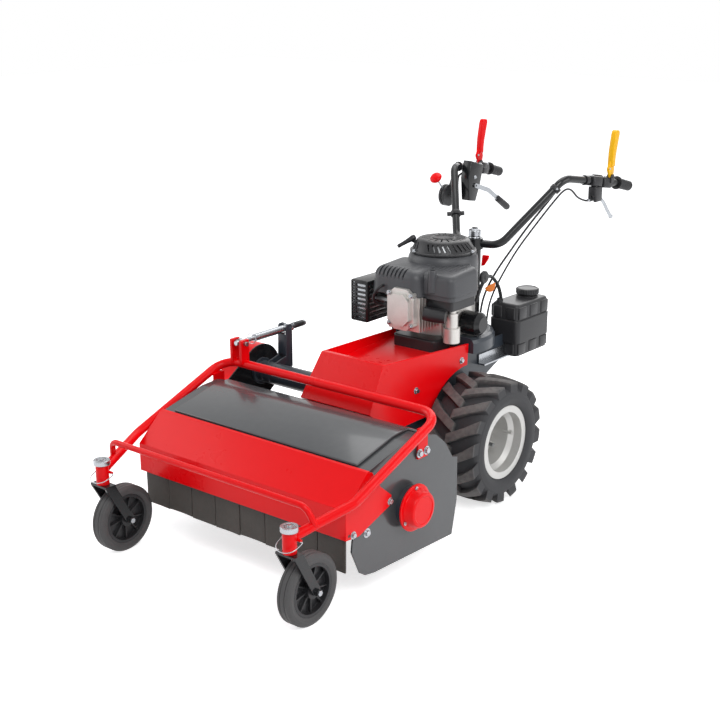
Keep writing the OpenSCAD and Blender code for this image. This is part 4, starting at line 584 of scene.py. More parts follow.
def make_finishes(colours, edge):
    """One finish for each of the record's slots, and those of the added pieces."""
    looks = {
        "red_paint": dict(roughness=0.28, coat=0.04, shine=0.16, mottle=0.03, mottle_scale=2.5,
                          gloss_spread=0.03, grain=0.025, grain_scale=420),
        "deck_grey": dict(roughness=0.24, coat=0.3, shine=0.3, mottle=0.05, mottle_scale=3, gloss_spread=0.03,
                          grain=0.025, grain_scale=420, dust=0.03),
        "chassis_grey": dict(roughness=0.34, coat=0.1, shine=0.35, mottle=0.08, grain=0.08, grain_scale=260,
                             dust=0.1),
        "black_paint": dict(roughness=0.2, coat=0.1, shine=0.3, mottle=0.08, mottle_scale=3,
                            gloss_spread=0.03, grain=0.015, grain_scale=420),
        "zinc": dict(roughness=0.26, metallic=0.95, mottle=0.1, mottle_scale=30, grain=0.12, grain_scale=500),
        "steel": dict(roughness=0.34, metallic=1.0, mottle=0.12, mottle_scale=18, grain=0.12, brushed=True),
        "cast_alloy": dict(roughness=0.38, metallic=0.7, mottle=0.1, mottle_scale=20, grain=0.3,
                           grain_scale=420),
        "rim_silver": dict(roughness=0.36, metallic=0.35, mottle=0.05, grain=0.08, grain_scale=300,
                           dust=0.06),
        "tyre_rubber": dict(roughness=0.64, shine=0.3, mottle=0.14, mottle_scale=8, grain=0.3,
                            grain_scale=320),
        "castor_rubber": dict(roughness=0.6, shine=0.25, mottle=0.1, mottle_scale=14, grain=0.2,
                              grain_scale=420),
        "flap_rubber": dict(roughness=0.6, shine=0.25, mottle=0.16, mottle_scale=9, grain=0.25,
                            grain_scale=300),
        "hose_rubber": dict(roughness=0.45, shine=0.3, mottle=0.08, mottle_scale=20, grain=0.15,
                            grain_scale=500),
        "shroud_grey": dict(roughness=0.38, shine=0.4, grain=0.28, grain_scale=900, dust=0.05),
        "black_plastic": dict(roughness=0.34, shine=0.3, mottle=0.1, grain=0.16, grain_scale=800, dust=0.03),
        "yellow_paint": dict(roughness=0.3, coat=0.06, shine=0.25, mottle=0.05, grain=0.04),
        "orange": dict(roughness=0.35, grain=0.1),
    }
    rounder = {"zinc": 0.6, "steel": 0.6, "flap_rubber": 0.6, "hose_rubber": 0.5, "tyre_rubber": 2,
               "shroud_grey": 2, "black_plastic": 1.6}
    for slot, look in looks.items():
        tone = tuple(getattr(colours, slot))
        FINISHES[slot] = finish(slot, tone, edge=edge * rounder.get(slot, 1), **look)
    # The tyres' tread lugs get a painted highlight on their tops: a lighter brownish tone
    low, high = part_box("tyre_left")
    painted_tread_highlight(FINISHES["tyre_rubber"], tuple(colours.lug_highlight), (low + high) / 2, inner=0.186, outer=0.2)


def paint(obj, slot):
    """Give a piece one finish."""
    obj.data.materials.clear()
    obj.data.materials.append(FINISHES[slot])


def wear_finish(obj, slot, body):
    """Give a piece its finish, its slot and the body it rides on."""
    paint(obj, slot)
    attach(obj, body)
    return obj


# The studio


def background_rays(add, link):
    """A socket that is 1 where the background is seen directly, in a gloss or through glass."""
    path = add("ShaderNodeLightPath")
    seen = path.outputs["Is Camera Ray"]
    for kind in ("Is Glossy Ray", "Is Transmission Ray"):
        either = add("ShaderNodeMath", operation="MAXIMUM")
        link(seen, either.inputs[0])
        link(path.outputs[kind], either.inputs[1])
        seen = either.outputs["Value"]
    return seen


def set_camera(context):
    """Look down on the mower from ahead of its left side."""
    eye = Vector((2.36413, -3.10049, 1.64250))
    ahead = Vector((-0.60367, 0.74101, -0.29409)).normalized()
    roll = -0.002
    side = ahead.cross(UP).normalized()
    turn = Matrix((side, side.cross(ahead), -ahead)).transposed().to_4x4()
    camera = bpy.data.objects.new("camera", bpy.data.cameras.new("camera"))
    context.collection.objects.link(camera)
    camera.matrix_world = Matrix.Translation(eye) @ turn @ Matrix.Rotation(roll, 4, "Z")
    camera.data.sensor_width, camera.data.lens = 36, 63.86
    camera.data.shift_x, camera.data.shift_y = -0.00125, 0.0006
    context.scene.camera = camera


def lay_floor(context):
    """A matt floor that fades to white away from the mower."""
    start()
    bpy.ops.mesh.primitive_plane_add(size=30, location=(0, 0, 0))
    floor = settle(context.object, "studio_floor")
    material, matt, add, link = new_material("studio_floor")
    matt.inputs["Base Color"].default_value = (*context.scene.mower_colours.floor, 1)
    matt.inputs["Roughness"].default_value = 0.9
    away = add("ShaderNodeVectorMath", operation="LENGTH")
    link(add("ShaderNodeTexCoord").outputs["Object"], away.inputs[0])
    fade = add("ShaderNodeMapRange", **{"From Min": 1.0, "From Max": 4.5, "To Min": 0.66, "To Max": 1.0})
    link(away.outputs["Value"], fade.inputs["Value"])
    glow, blank = add("ShaderNodeEmission"), add("ShaderNodeEmission", Strength=0.0)
    link(fade.outputs["Result"], glow.inputs["Strength"])
    shown, lit = add("ShaderNodeMixShader"), add("ShaderNodeAddShader")
    link(background_rays(add, link), shown.inputs["Fac"])
    link(blank.outputs["Emission"], shown.inputs[1])
    link(glow.outputs["Emission"], shown.inputs[2])
    link(matt.outputs["BSDF"], lit.inputs[0])
    link(shown.outputs["Shader"], lit.inputs[1])
    link(lit.outputs["Shader"], first_node(material, "OUTPUT_MATERIAL").inputs["Surface"])
    floor.data.materials.append(material)


def light_world(context):
    """Soft light from all around, with a white background."""
    world = bpy.data.worlds.new("studio")
    context.scene.world = world
    world.use_nodes = True
    world.node_tree.nodes.clear()
    add, link = node_tools(world.node_tree)
    soft = add("ShaderNodeBackground", Color=(0.9, 0.93, 1.0, 1), Strength=0.34)
    white = add("ShaderNodeBackground", Color=(1, 1, 1, 1), Strength=1.0)
    choose = add("ShaderNodeMixShader")
    link(background_rays(add, link), choose.inputs["Fac"])
    link(soft.outputs["Background"], choose.inputs[1])
    link(white.outputs["Background"], choose.inputs[2])
    link(choose.outputs["Shader"], add("ShaderNodeOutputWorld").inputs["Surface"])


def hang_lamps(context):
    """Five wide lamps that shine on the mower's middle."""
    target = Vector((0, 0, 0.45))
    lamps = (("key", (2.2, -2.0, 3.0), 1.8, 62), ("low_right", (-3.0, -1.6, 1.8), 2.2, 34),
             ("low_left", (3.0, 1.0, 1.6), 1.8, 30), ("top", (-0.4, 0.9, 3.2), 2.0, 34),
             ("back", (-0.8, 3.0, 2.2), 2.0, 30))
    for name, place, size, power in lamps:
        data = bpy.data.lights.new(name, "AREA")
        data.size, data.energy = size, power
        lamp = bpy.data.objects.new(name, data)
        context.collection.objects.link(lamp)
        lamp.location = place
        lamp.rotation_euler = (target - Vector(place)).to_track_quat("-Z", "Y").to_euler()


class StudioOperator(bpy.types.Operator):
    """Set the camera, the floor, the white surroundings and the lamps"""

    bl_idname = "mower.stage"
    bl_label = "Studio"

    def execute(self, context):
        context.scene.view_settings.view_transform = "Standard"
        for setting in (set_camera, lay_floor, light_world, hang_lamps):
            setting(context)
        return {"FINISHED"}


class PaintFrameOperator(bpy.types.Operator):
    """Make the finishes and paint every piece of the frame with its own"""

    bl_idname = "mower.paint_frame"
    bl_label = "Paint the frame"

    def execute(self, context):
        make_finishes(context.scene.mower_colours, context.scene.mower_sizes.edge)
        for part in frame["record"]["subparts"]:
            paint(NODES[part["node"]], part["material_slot"])
        return {"FINISHED"}


# The pieces


class TubesOperator(bpy.types.Operator):
    """Draw the smooth tubes of the hoop, the bumper and the handlebar"""

    bl_idname = "mower.tubes"
    bl_label = "Hoop and handlebar tubes"

    def execute(self, context):
        sizes = context.scene.mower_sizes
        side = [at(*CASTOR, 265), at(420, -868, 313), at(420, -492, 455)]
        path = trimmed(bent(side + mirrored(side)[::-1], [0.09, 0.062, 0.062, 0.09]), 0.08, 0.08)
        wear_finish(tube("hoop_tube", path, sizes.hoop_tube / 2, 24), "red_paint", "chassis")
        foot = [at(391, -988, 284), at(372, -1004, 338)]
        path = bent(foot + mirrored(foot)[::-1], [0.03, 0.03])
        wear_finish(tube("bumper_tube", path, sizes.bumper_tube / 2, 20), "red_paint", "chassis")
        path = trimmed(bent(BAR, [0.06, 0.052, 0.06]), 0.15, 0.1)
        left = tube("bar_tube_left", path, sizes.bar_tube / 2, 24)
        right = mirror_of(left, "bar_tube_right")
        for piece in (left, right):
            wear_finish(piece, "black_paint", "bar")
        return {"FINISHED"}


class CablesOperator(bpy.types.Operator):
    """Run the control cables, the fuel hose and the spark plug lead along their routes"""

    bl_idname = "mower.cables"
    bl_label = "Cables and hoses"

    def execute(self, context):
        sizes = context.scene.mower_sizes
        right = ((-252.7, 676.3, 923), (-246, 630, 926.5), (-240.5, 590, 933), (-235.5, 555, 938.5),
                 (-231, 525, 938), (-227, 503, 926), (-205, 470, 880), (-170, 425, 820), (-125, 372, 740),
                 (-90, 330, 650), (-65, 300, 560), (-54, 284, 490), (-52, 280, 437))
        left = ((235.5, 676.3, 940), (226, 640, 943), (220.5, 600, 950), (215.5, 560, 955), (210, 525, 957),
                (202, 495, 950), (175, 455, 895), (135, 400, 815), (100, 350, 735), (70, 305, 660),
                (50, 275, 590), (42, 263, 520), (42, 262, 437))
        brake = ((246, 612, 884), (241, 585, 886), (234, 545, 902), (226, 512, 930), (214, 488, 930),
                 (190, 462, 892), (150, 412, 812), (115, 364, 734), (88, 322, 655), (70, 290, 585),
                 (62, 276, 520), (62, 272, 440))
        pieces = [run_through("cable", route, sizes.cable * share, 12)
                  for route, share in ((right, 0.5), (left, 0.5), (brake, 0.45))]
        cables = join("control_cables_run", pieces, 50)
        paint(cables, "hose_rubber")
        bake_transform(cables)
        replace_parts(cables, "control_cables")
        route = ((84, 326, 562), (83, 320, 588), (84, 304, 618), (88, 274, 646), (94, 242, 664),
                 (102, 208, 670), (111, 176, 664), (117, 150, 648), (118, 134, 626), (116, 124, 604))
        hose = run_through("fuel_hose_run", route, sizes.hose / 2, 14)
        wear_finish(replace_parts(hose, "fuel_hose"), "hose_rubber", "chassis")
        route = ((-78, -116.3, 676), (-80, -126, 674), (-88, -134, 664), (-98, -137, 648), (-104, -132, 630),
                 (-106, -118, 616), (-102, -102, 608), (-92, -92, 606), (-80, -88, 606))
        lead = run_through("spark_lead_run", route, sizes.lead / 2, 14)
        wear_finish(lead, "hose_rubber", "chassis")
        return {"FINISHED"}


class BoltsOperator(bpy.types.Operator):
    """Set the bolts of the covers, the side plates, the hoop and the valve cover"""

    bl_idname = "mower.bolts"
    bl_label = "Cover bolts"

    def execute(self, context):
        flats = context.scene.mower_sizes.bolt_flats
        outside = 700  # a line from here meets each piece from outside
        seats = []
        for side, hand in ((1, "left"), (-1, "right")):
            for node, y, z, size, washer in (
                    ("bonnet", 4, 440, 1, 0.022), ("bonnet", -230, 398, 1, 0.022),
                    ("front_cover", -691, 255, 1, 0.022), ("front_cover", -849, 211, 1, 0.022),
                    ("side_plate_" + hand, -786, 194, 1.15, 0.028),
                    ("hoop_frame", -560, 355, 1.2, 0.026), ("hoop_frame", -528, 355, 1.2, 0.026)):
                seats.append((node, at(side * outside, y, z), -side * ACROSS, size, washer))
        rotor_y, rotor_z, circle_r = *ROTOR_LINE, 58
        for turn in (90, 210, 330):
            a = math.radians(turn)
            place = at(outside, rotor_y + circle_r * math.cos(a), rotor_z + circle_r * math.sin(a))
            seats.append(("bearing_cover", place, -ACROSS, 0.85, 0.018))
        for y, z in ((-605, 268), (-640, 160), (-345, 440), (-300, 350), (-470, 345)):
            seats.append(("belt_guard", at(-outside, y, z), ACROSS, 0.85, 0.018))
        for x, z in ((-43, 563), (43, 563), (-43, 661), (43, 661)):
            seats.append(("valve_cover", at(x, -400, z), Vector((0, 1, 0)), 0.77, 0.016))
        bolts = []
        for number, (node, origin, aim, size, washer) in enumerate(seats):
            place, normal = seat_on(node, origin, aim)
            width = flats * size
            bolts.append(hex_bolt("bolt", place, normal, width, width * 0.42, washer, number * 0.7))
        wear_finish(join("cover_bolts", bolts, 30), "zinc", "chassis")
        return {"FINISHED"}


class CastorHardwareOperator(bpy.types.Operator):
    """Fit the castors' caps and axle screws and the wire bails of their keeper pins"""

    bl_idname = "mower.castor_hardware"
    bl_label = "Castor hardware"

    def execute(self, context):
        cap_profile = [(0.02, 0), (0.0239, 0.0002), (0.0243, 0.001), (0.0243, 0.0122), (0.0239, 0.0133),
                       (0.0229, 0.0139), (0.0156, 0.0139), (0.015, 0.0134), (0.0148, 0.011), (0.0124, 0.011),
                       (0.0122, 0.0134), (0.0118, 0.0137), (0, 0.0137)]
        half_bail = ((0.030, 0.006, 0), (0.034, 0.010, -0.004), (0.030, -0.018, -0.016),
                     (0.012, -0.031, -0.022))
        for side, hand in ((1, "left"), (-1, "right")):
            fork = "castor_fork_" + hand
            x, y = side * CASTOR[0], CASTOR[1]
            top, _ = seat_on(fork, at(x, y, 500), -UP)
            pieces = [turned("cap", cap_profile, at(x, y, 286.2), UP, 44),
                      hex_bolt("cap_screw", top + UP * 0.0004, UP, 0.012, 0.003, 0)]
            for outward in (ACROSS, -ACROSS):
                place, _ = seat_on(fork, at(x, -990, 100) + outward * 0.14, -outward)
                pieces.append(hex_bolt("axle_screw", place, outward, 0.0145, 0.004, 0))
            wear_finish(join("castor_bolts_" + hand, pieces, 30), "zinc", "fork_" + hand)
            arm = [Vector(p) for p in half_bail]
            bail = smooth_path([at(x, y, 262) + p for p in arm + mirrored(arm)[::-1]])
            wear_finish(tube("keeper_bail_" + hand, bail, 0.0014, 8), "zinc", "chassis")
        return {"FINISHED"}


class GripsOperator(bpy.types.Operator):
    """Turn the ribbed rubber grips of the handlebar"""

    bl_idname = "mower.grips"
    bl_label = "Hand grips"

    def execute(self, context):
        low, high = BAR[-2:]
        along = (high - low).normalized()
        length, ribs = 0.084, 14
        foot = high - along * (length - 0.003)
        pitch = (length - 0.018) / ribs
        profile = [(0.0136, 0), (0.0215, 0), (0.023, 0.0012), (0.023, 0.0046), (0.0212, 0.006),
                   (0.0172, 0.0075)]
        for k in range(ribs):
            h = 0.0085 + k * pitch
            swell = 0.0006 * math.sin(math.pi * (k + 0.5) / ribs)
            root, crest = 0.0163 + swell, 0.0172 + swell
            profile += [(root, h), (crest, h + pitch * 0.25), (crest, h + pitch * 0.7),
                        (root, h + pitch * 0.95)]
        profile += [(0.0172, length - 0.006), (0.0178, length - 0.003), (0.0165, length - 0.0006),
                    (0.012, length + 0.0012), (0.006, length + 0.0018), (0, length + 0.002)]
        left = turned("grip_left", profile, foot, along, 40, 30)
        grips = join("ribbed_grips", [left, mirror_of(left, "grip_right")], 30)
        wear_finish(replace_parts(grips, "hand_grips"), "hose_rubber", "bar")
        return {"FINISHED"}


class CowlingOperator(bpy.types.Operator):
    """Mould the engine's cowling: the louvred hood, the round deck and the air filter cover"""

    bl_idname = "mower.cowling"
    bl_label = "Engine cowling"

    def execute(self, context):
        hood = moulded("hood", at(-136, -116, 652), at(60, 60, 742), 0.034, 0.028, 0.93, 0.01)
        carve(hood, [turned_block("slot", (0.0068, 0.016, 0.066), at(-112 + k * 15.5, -101, 722),
                                  tilt(-48, "X"), 0.003) for k in range(8)])
        deck = turned("deck", [(0, 0), (0.108, 0), (0.114, 0.004), (0.115, 0.07), (0.113, 0.088),
                               (0.108, 0.1), (0.1, 0.107), (0, 0.107)], at(0, 100, 657), UP, 64, 40)
        rear = moulded("rear", at(-92, 60, 655), at(60, 190, 728), 0.03, 0.014)
        cover = join("engine_cowling", [hood, deck, rear], 40)
        wear_finish(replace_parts(cover, "blower_shroud"), "shroud_grey", "chassis")
        body = moulded("body", at(34, -86, 664), at(169, 74, 740), 0.024, 0.018, 0.94, 0.012)
        carve(body, [turned_block("rib", (0.004, 0.075, 0.005), at(70 + k * 15, 10, 735.5), tilt(4, "X"),
                                  0.0018) for k in range(5)])
        skirt = moulded("skirt", at(38, -81, 648), at(165, 70, 668), 0.022, 0.001)
        boss = turned("boss", [(0, 0), (0.016, 0), (0.0135, 0.05), (0.013, 0.066), (0.011, 0.07),
                               (0.0095, 0.07), (0.009, 0.064), (0, 0.064)], at(88, -79, 672), UP, 32)
        latch = turned("latch", [(0, 0), (0.015, 0), (0.015, 0.012), (0.013, 0.015), (0.007, 0.016),
                                 (0, 0.016)],
                       at(116, 66, 722), UP, 28)
        filter_cover = join("filter_cover_shell", [body, skirt, boss, latch], 40)
        wear_finish(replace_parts(filter_cover, "air_filter_cover"), "shroud_grey", "chassis")
        return {"FINISHED"}


class ThrottleOperator(bpy.types.Operator):
    """Turn the throttle's knob and fit its arm"""

    bl_idname = "mower.throttle"
    bl_label = "Throttle lever"

    def execute(self, context):
        lean = Vector((0, -1, 1)).normalized()
        pivot, end = at(-250, 470, 868), at(-250, 400, 938)
        knob = turned("throttle_knob", [(0.0045, -0.017), (0.005, -0.0105), (0.011, -0.0085),
                                        (0.0185, -0.0065), (0.0218, -0.0015), (0.0215, 0.003),
                                        (0.0175, 0.0075), (0.009, 0.0098), (0, 0.0102)], end, lean, 40, 60)
        wear_finish(knob, "red_paint", "lever_throttle")
        half = 0.0018
        boss = turned("boss", [(0, -half), (0.0085, -half), (0.0085, half), (0, half)], pivot, ACROSS, 28)
        rod = tube("rod", [pivot, end - lean * 0.008], 0.0032, 12)
        arm = join("throttle_arm", [boss, rod], 40)
        wear_finish(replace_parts(arm, "throttle_lever"), "zinc", "lever_throttle")
        return {"FINISHED"}


class BarHeadOperator(bpy.types.Operator):
    """Turn the nut of the handlebar's head and cut its clamp lever"""

    bl_idname = "mower.bar_head"
    bl_label = "Handlebar head"

    def execute(self, context):
        head = turned("head_nut", [(0.0195, -0.001), (0.0206, 0), (0.0206, 0.004), (0.0192, 0.0055),
                                   (0.0206, 0.007), (0.0206, 0.025), (0.019, 0.0285), (0.011, 0.0289),
                                   (0.0105, 0.0325), (0, 0.033)], at(0, 280, 776.5), UP, 40, 25)
        soften(head, 0.0012, 2, 20)
        wear_finish(head, "zinc", "chassis")
        outline = ((46, 727), (72, 728), (69, 714), (53, 691), (42, 688))
        clamp = plate("clamp_lever", [at(x, 258, z) for x, z in outline], Vector((0, 0.009, 0)), 0.003)
        wear_finish(clamp, "red_paint", "chassis")
        return {"FINISHED"}


class StrutOperator(bpy.types.Operator):
    """Cap the strut's end and ring its pins"""

    bl_idname = "mower.strut"
    bl_label = "Strut cap and rings"

    def execute(self, context):
        x, z, ring_r, steps = -354, 522, 17, 32
        sleeve = [(0, 0), (0.0085, 0), (0.0104, 0.003), (0.0104, 0.05), (0.0092, 0.056), (0.004, 0.0585),
                  (0, 0.059)]
        cap = turned("strut_cap", sleeve, at(x, -246.5, z), (0, 1, 0), 32, 40)
        wear_finish(cap, "black_plastic", "chassis")
        turns = [2 * math.pi * k / steps for k in range(steps)]
        rings = [tube("clip_ring", [at(x + ring_r * math.cos(a), y, z + ring_r * math.sin(a)) for a in turns],
                      0.0013, 8, True) for y in (-437, -280)]
        wear_finish(join("strut_rings", rings, 50), "zinc", "chassis")
        return {"FINISHED"}


class FuelTapOperator(bpy.types.Operator):
    """Turn the fuel tap's body and cut its lever"""

    bl_idname = "mower.fuel_tap"
    bl_label = "Fuel tap"

    def execute(self, context):
        tap = turned("tap_body", [(0, 0), (0.019, 0), (0.021, 0.002), (0.021, 0.009), (0.018, 0.012),
                                  (0.008, 0.013), (0.006, 0.016), (0, 0.016)], at(134, 133, 688), ACROSS, 36)
        wear_finish(tap, "black_plastic", "chassis")
        right, away = Vector((0.775, 0.632, 0)), Vector((-0.632, 0.775, 0))
        outline = ((-17, -2), (0.5, 9), (17, 17), (18, 12), (15, -6), (8, -14), (-2, -16), (-12, -12))
        lever = plate("tap_lever", [at(146, 160, 650 + u) + right * r * MM for r, u in outline], away * 0.006,
                      0.0025)
        wear_finish(lever, "orange", "chassis")
        return {"FINISHED"}


class FlapsOperator(bpy.types.Operator):
    """Hang the rubber strips from their rod, each a little bowed"""

    bl_idname = "mower.flaps"
    bl_label = "Flap curtain"

    def execute(self, context):
        low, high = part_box("flap_curtain")
        count, half, gap, thick = 8, 0.389, 0.0012, 0.0055
        width = 2 * half / count
        rod_y, rod_z, rod_r, chamfer = -0.7395, 0.214, 0.006, 0.0006
        strips = []
        for k in range(count):
            left = -half + k * width + gap
            right = left + width - 2 * gap
            top, bottom = rod_z + rod_r, low.z + 0.0006 + 0.0011 * ((k * 5) % 3)
            start()
            bpy.ops.mesh.primitive_grid_add(x_subdivisions=8, y_subdivisions=10, size=1,
                                            location=((left + right) / 2, rod_y, (top + bottom) / 2),
                                            rotation=(math.pi / 2, 0, 0))
            strip = context.object
            strip.scale = (right - left, top - bottom, 1)
            bpy.ops.object.transform_apply(location=True, rotation=True, scale=True)
            bow = 0.0016 + 0.0011 * math.sin(k * 2.3)
            lean = 0.0012 * math.sin(k * 1.7 + 0.6)
            stagger = 0.0008 * (k % 2)
            for v in strip.data.vertices:
                across = (v.co.x - left) / (right - left) - 0.5
                down = (top - v.co.z) / (top - bottom)
                v.co.y += down * (lean + bow * (1 - 4 * across * across)) - stagger * down
            modify(strip, "SOLIDIFY", thickness=thick, offset=0)
            soften(strip, 0.0008, 2, 40)
            strips.append(settle(strip, "strip", 40))
        length, end_r = high.x - low.x, rod_r - 0.0005
        rod = turned("rod", [(0, 0), (end_r, 0), (rod_r, chamfer), (rod_r, length - chamfer), (end_r, length),
                             (0, length)], Vector((low.x, rod_y, rod_z)), ACROSS, 20)
        curtain = join("rubber_strips", strips + [rod], 40)
        wear_finish(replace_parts(curtain, "flap_curtain"), "flap_rubber", "curtain")
        return {"FINISHED"}


class TankOperator(bpy.types.Operator):
    """Mould the fuel tank with its band, ribs and neck, and turn its cap"""

    bl_idname = "mower.tank"
    bl_label = "Fuel tank"

    @staticmethod
    def ribs():
        """The ribs above and below the band: three on each side and two on each end."""
        rows, out = ((512, 552), (396, 431)), 3.2
        spots = [(x, y, out, 21, row) for y in (340, 404, 468) for row in rows for x in (62.5, 160.5)]
        spots += [(x, y, 15, out, row) for x in (88, 135) for row in rows for y in (312.5, 495.5)]
        return [block("rib", at(x - half_x, y - half_y, low), at(x + half_x, y + half_y, high), 0.0028)
                for x, y, half_x, half_y, (low, high) in spots]

    def execute(self, context):
        neck_foot = at(111.5, 446.5, 562)
        pieces = [moulded("tank", at(62, 312, 391), at(161, 496, 562), 0.016, 0.013),
                  moulded("band", at(58, 308, 434), at(165, 500, 509), 0.018, 0.003), *self.ribs()]
        pieces.append(turned("neck", [(0, 0), (0.034, 0), (0.034, 0.003), (0.029, 0.005), (0.028, 0.0078),
                                      (0, 0.0078)], neck_foot, UP, 48))
        pieces.append(turned("hose_union", [(0, 0), (0.0095, 0), (0.0095, 0.005), (0.007, 0.006),
                                            (0.0068, 0.012), (0.0045, 0.0125)],
                             at(84, 326, 561), (0, -0.1, 1), 24))
        tank = join("fuel_tank_shell", pieces, 40)
        grown = Matrix.Diagonal((1.1, 1.07, 1.04, 1))
        tank.data.transform(Matrix.Translation(neck_foot) @ grown @ Matrix.Translation(-neck_foot))
        wear_finish(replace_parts(tank, "fuel_tank"), "black_plastic", "chassis")
        low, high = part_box("fuel_cap")
        foot = Vector(((low.x + high.x) / 2, (low.y + high.y) / 2, low.z))
        r, h = (high.x - low.x) / 2, high.z - low.z
        profile = ((0, 0), (0.93, 0), (0.96, 0.05), (0.96, 0.8), (0.93, 0.93), (0.85, 1), (0.8, 1),
                   (0.77, 0.93), (0, 0.93))
        cap = turned("cap", [(r * out, h * up) for out, up in profile], foot, UP, 60)
        count, ribs = 30, []
        for k in range(count):
            rib = block("rib", (r * 0.94, -0.0016, h * 0.06), (r * 0.998, 0.0016, h * 0.86), 0.0009, 2)
            ribs.append(set_round(rib, foot, 2 * math.pi * k / count))
        cap = join("fuel_cap_shell", [cap] + ribs)
        wear_finish(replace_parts(cap, "fuel_cap"), "black_plastic", "cap")
        return {"FINISHED"}


class LeversOperator(bpy.types.Operator):
    """Shape the hand levers with their cable barrels, and the gear lever's grip"""

    bl_idname = "mower.levers"
    bl_label = "Hand levers"

    @staticmethod
    def leaf(outline, half, round_r):
        """A leaf of the left lever: its outline is given from the pivot, in millimetres."""
        x, pivot_y, pivot_z = 270, 700, 955
        corners = [at(x - half, pivot_y + y, pivot_z + z) for y, z in outline]
        return plate("leaf", corners, ACROSS * (2 * half * MM), round_r, 4)

    def execute(self, context):
        handle = ((-9, 36), (-8.5, 62), (-6, 92), (0, 122), (5, 145), (10, 155), (17, 158), (28, 157),
                  (33, 152), (33, 143), (26, 118), (17, 84), (12.5, 58), (12, 36))
        root = ((-9.5, -4), (-13, 8), (-22, 24), (-23, 31), (-18, 38), (-9, 54), (12, 54), (14.5, 36),
                (17, 25), (14, 12), (9, -5), (4, -9.5), (-4, -9.5))
        yellow = join("yellow_lever", [self.leaf(handle, 10.2, 0.006), self.leaf(root, 4.4, 0.0016)], 40)
        red = mirror_of(yellow, "red_lever")
        wear_finish(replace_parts(yellow, "blade_lever"), "yellow_paint", "lever_yellow")
        wear_finish(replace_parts(red, "clutch_lever"), "red_paint", "lever_red")
        barrel = turned("cable_barrel_left", [(0, 0), (0.0036, 0), (0.0042, 0.0006), (0.0042, 0.0118),
                                              (0.0036, 0.0124), (0, 0.0124)], at(263.8, 685, 985), ACROSS, 24)
        barrel_right = mirror_of(barrel, "cable_barrel_right")
        wear_finish(barrel, "zinc", "lever_yellow")
        wear_finish(barrel_right, "zinc", "lever_red")
        length = 0.0845
        profile = [(0, 0), (0.0095, 0), (0.0114, 0.002), (0.0116, 0.02), (0.0122, 0.05),
                   (0.0126, length - 0.006), (0.0112, length - 0.0015), (0.006, length), (0, length)]
        grip = turned("gear_grip", profile, at(-176.5, 681, 837.3), (0, 0.852, -0.524), 36, 50)
        wear_finish(grip, "hose_rubber", "lever_gear")
        return {"FINISHED"}


class LeverHousingsOperator(bpy.types.Operator):
    """Mould the clamp housings under the hand levers, with their screws and cable adjusters"""

    bl_idname = "mower.lever_housings"
    bl_label = "Lever housings"

    def execute(self, context):
        low, high = BAR[-3:-1]
        along = (high - low).normalized()
        turn = bar_turn(ACROSS, along)

        def on_bar(y):
            """The bar's middle at a distance behind the axle."""
            return low + along * ((y * MM + AXLE_Y - low.y) / along.y)

        def housing(middle, size, offset, round_r):
            """A rounded box that is set off from the bar's middle, along and across the bar."""
            return turned_block("housing", size, middle + turn @ Vector(offset), turn, round_r)

        middle = on_bar(690)
        body = [housing(middle, (0.046, 0.046, 0.036), (-0.002, -0.006, -0.002), 0.006),
                housing(middle, (0.026, 0.03, 0.02), (-0.016, -0.026, 0.012), 0.004)]
        left = join("clamp_housing_left", body, 40)
        right = mirror_of(left, "clamp_housing_right")
        screws = [hex_bolt("screw", middle + turn @ Vector(offset), turn @ UP, 0.007, 0.004, 0)
                  for offset in ((-0.02, 0.006, 0.0158), (0.014, -0.02, 0.0158))]
        screws.append(turned("adjuster", [(0, 0), (0.0045, 0), (0.0045, 0.006), (0.006, 0.0062),
                                          (0.006, 0.011), (0.004, 0.0115), (0.004, 0.016), (0, 0.016)],
                             middle + turn @ Vector((-0.018, -0.041, 0.013)), -along, 20, 30))
        trim = join("clamp_screws_left", screws, 30)
        trim_right = mirror_of(trim, "clamp_screws_right")
        pump = [housing(on_bar(628), (0.044, 0.05, 0.034), (0, 0, 0), 0.006),
                block("pump", at(238, 606, 879), at(249.2, 650, 930), 0.004),
                block("pump", at(258.8, 606, 879), at(270, 650, 930), 0.004),
                block("pump", at(240, 604, 900), at(268, 612, 932), 0.003)]
        brake_body = join("brake_housing", pump, 40)
        for piece in (left, right, brake_body):
            wear_finish(piece, "black_plastic", "bar")
        union = turned("brake_adjuster", [(0, 0), (0.0052, 0), (0.0052, 0.007), (0.0038, 0.0075),
                                          (0.0038, 0.014), (0, 0.014)],
                       at(243.5, 606, 886), (0.1, -1, 0), 20, 30)
        for piece in (trim, trim_right, union):
            wear_finish(piece, "zinc", "bar")
        return {"FINISHED"}


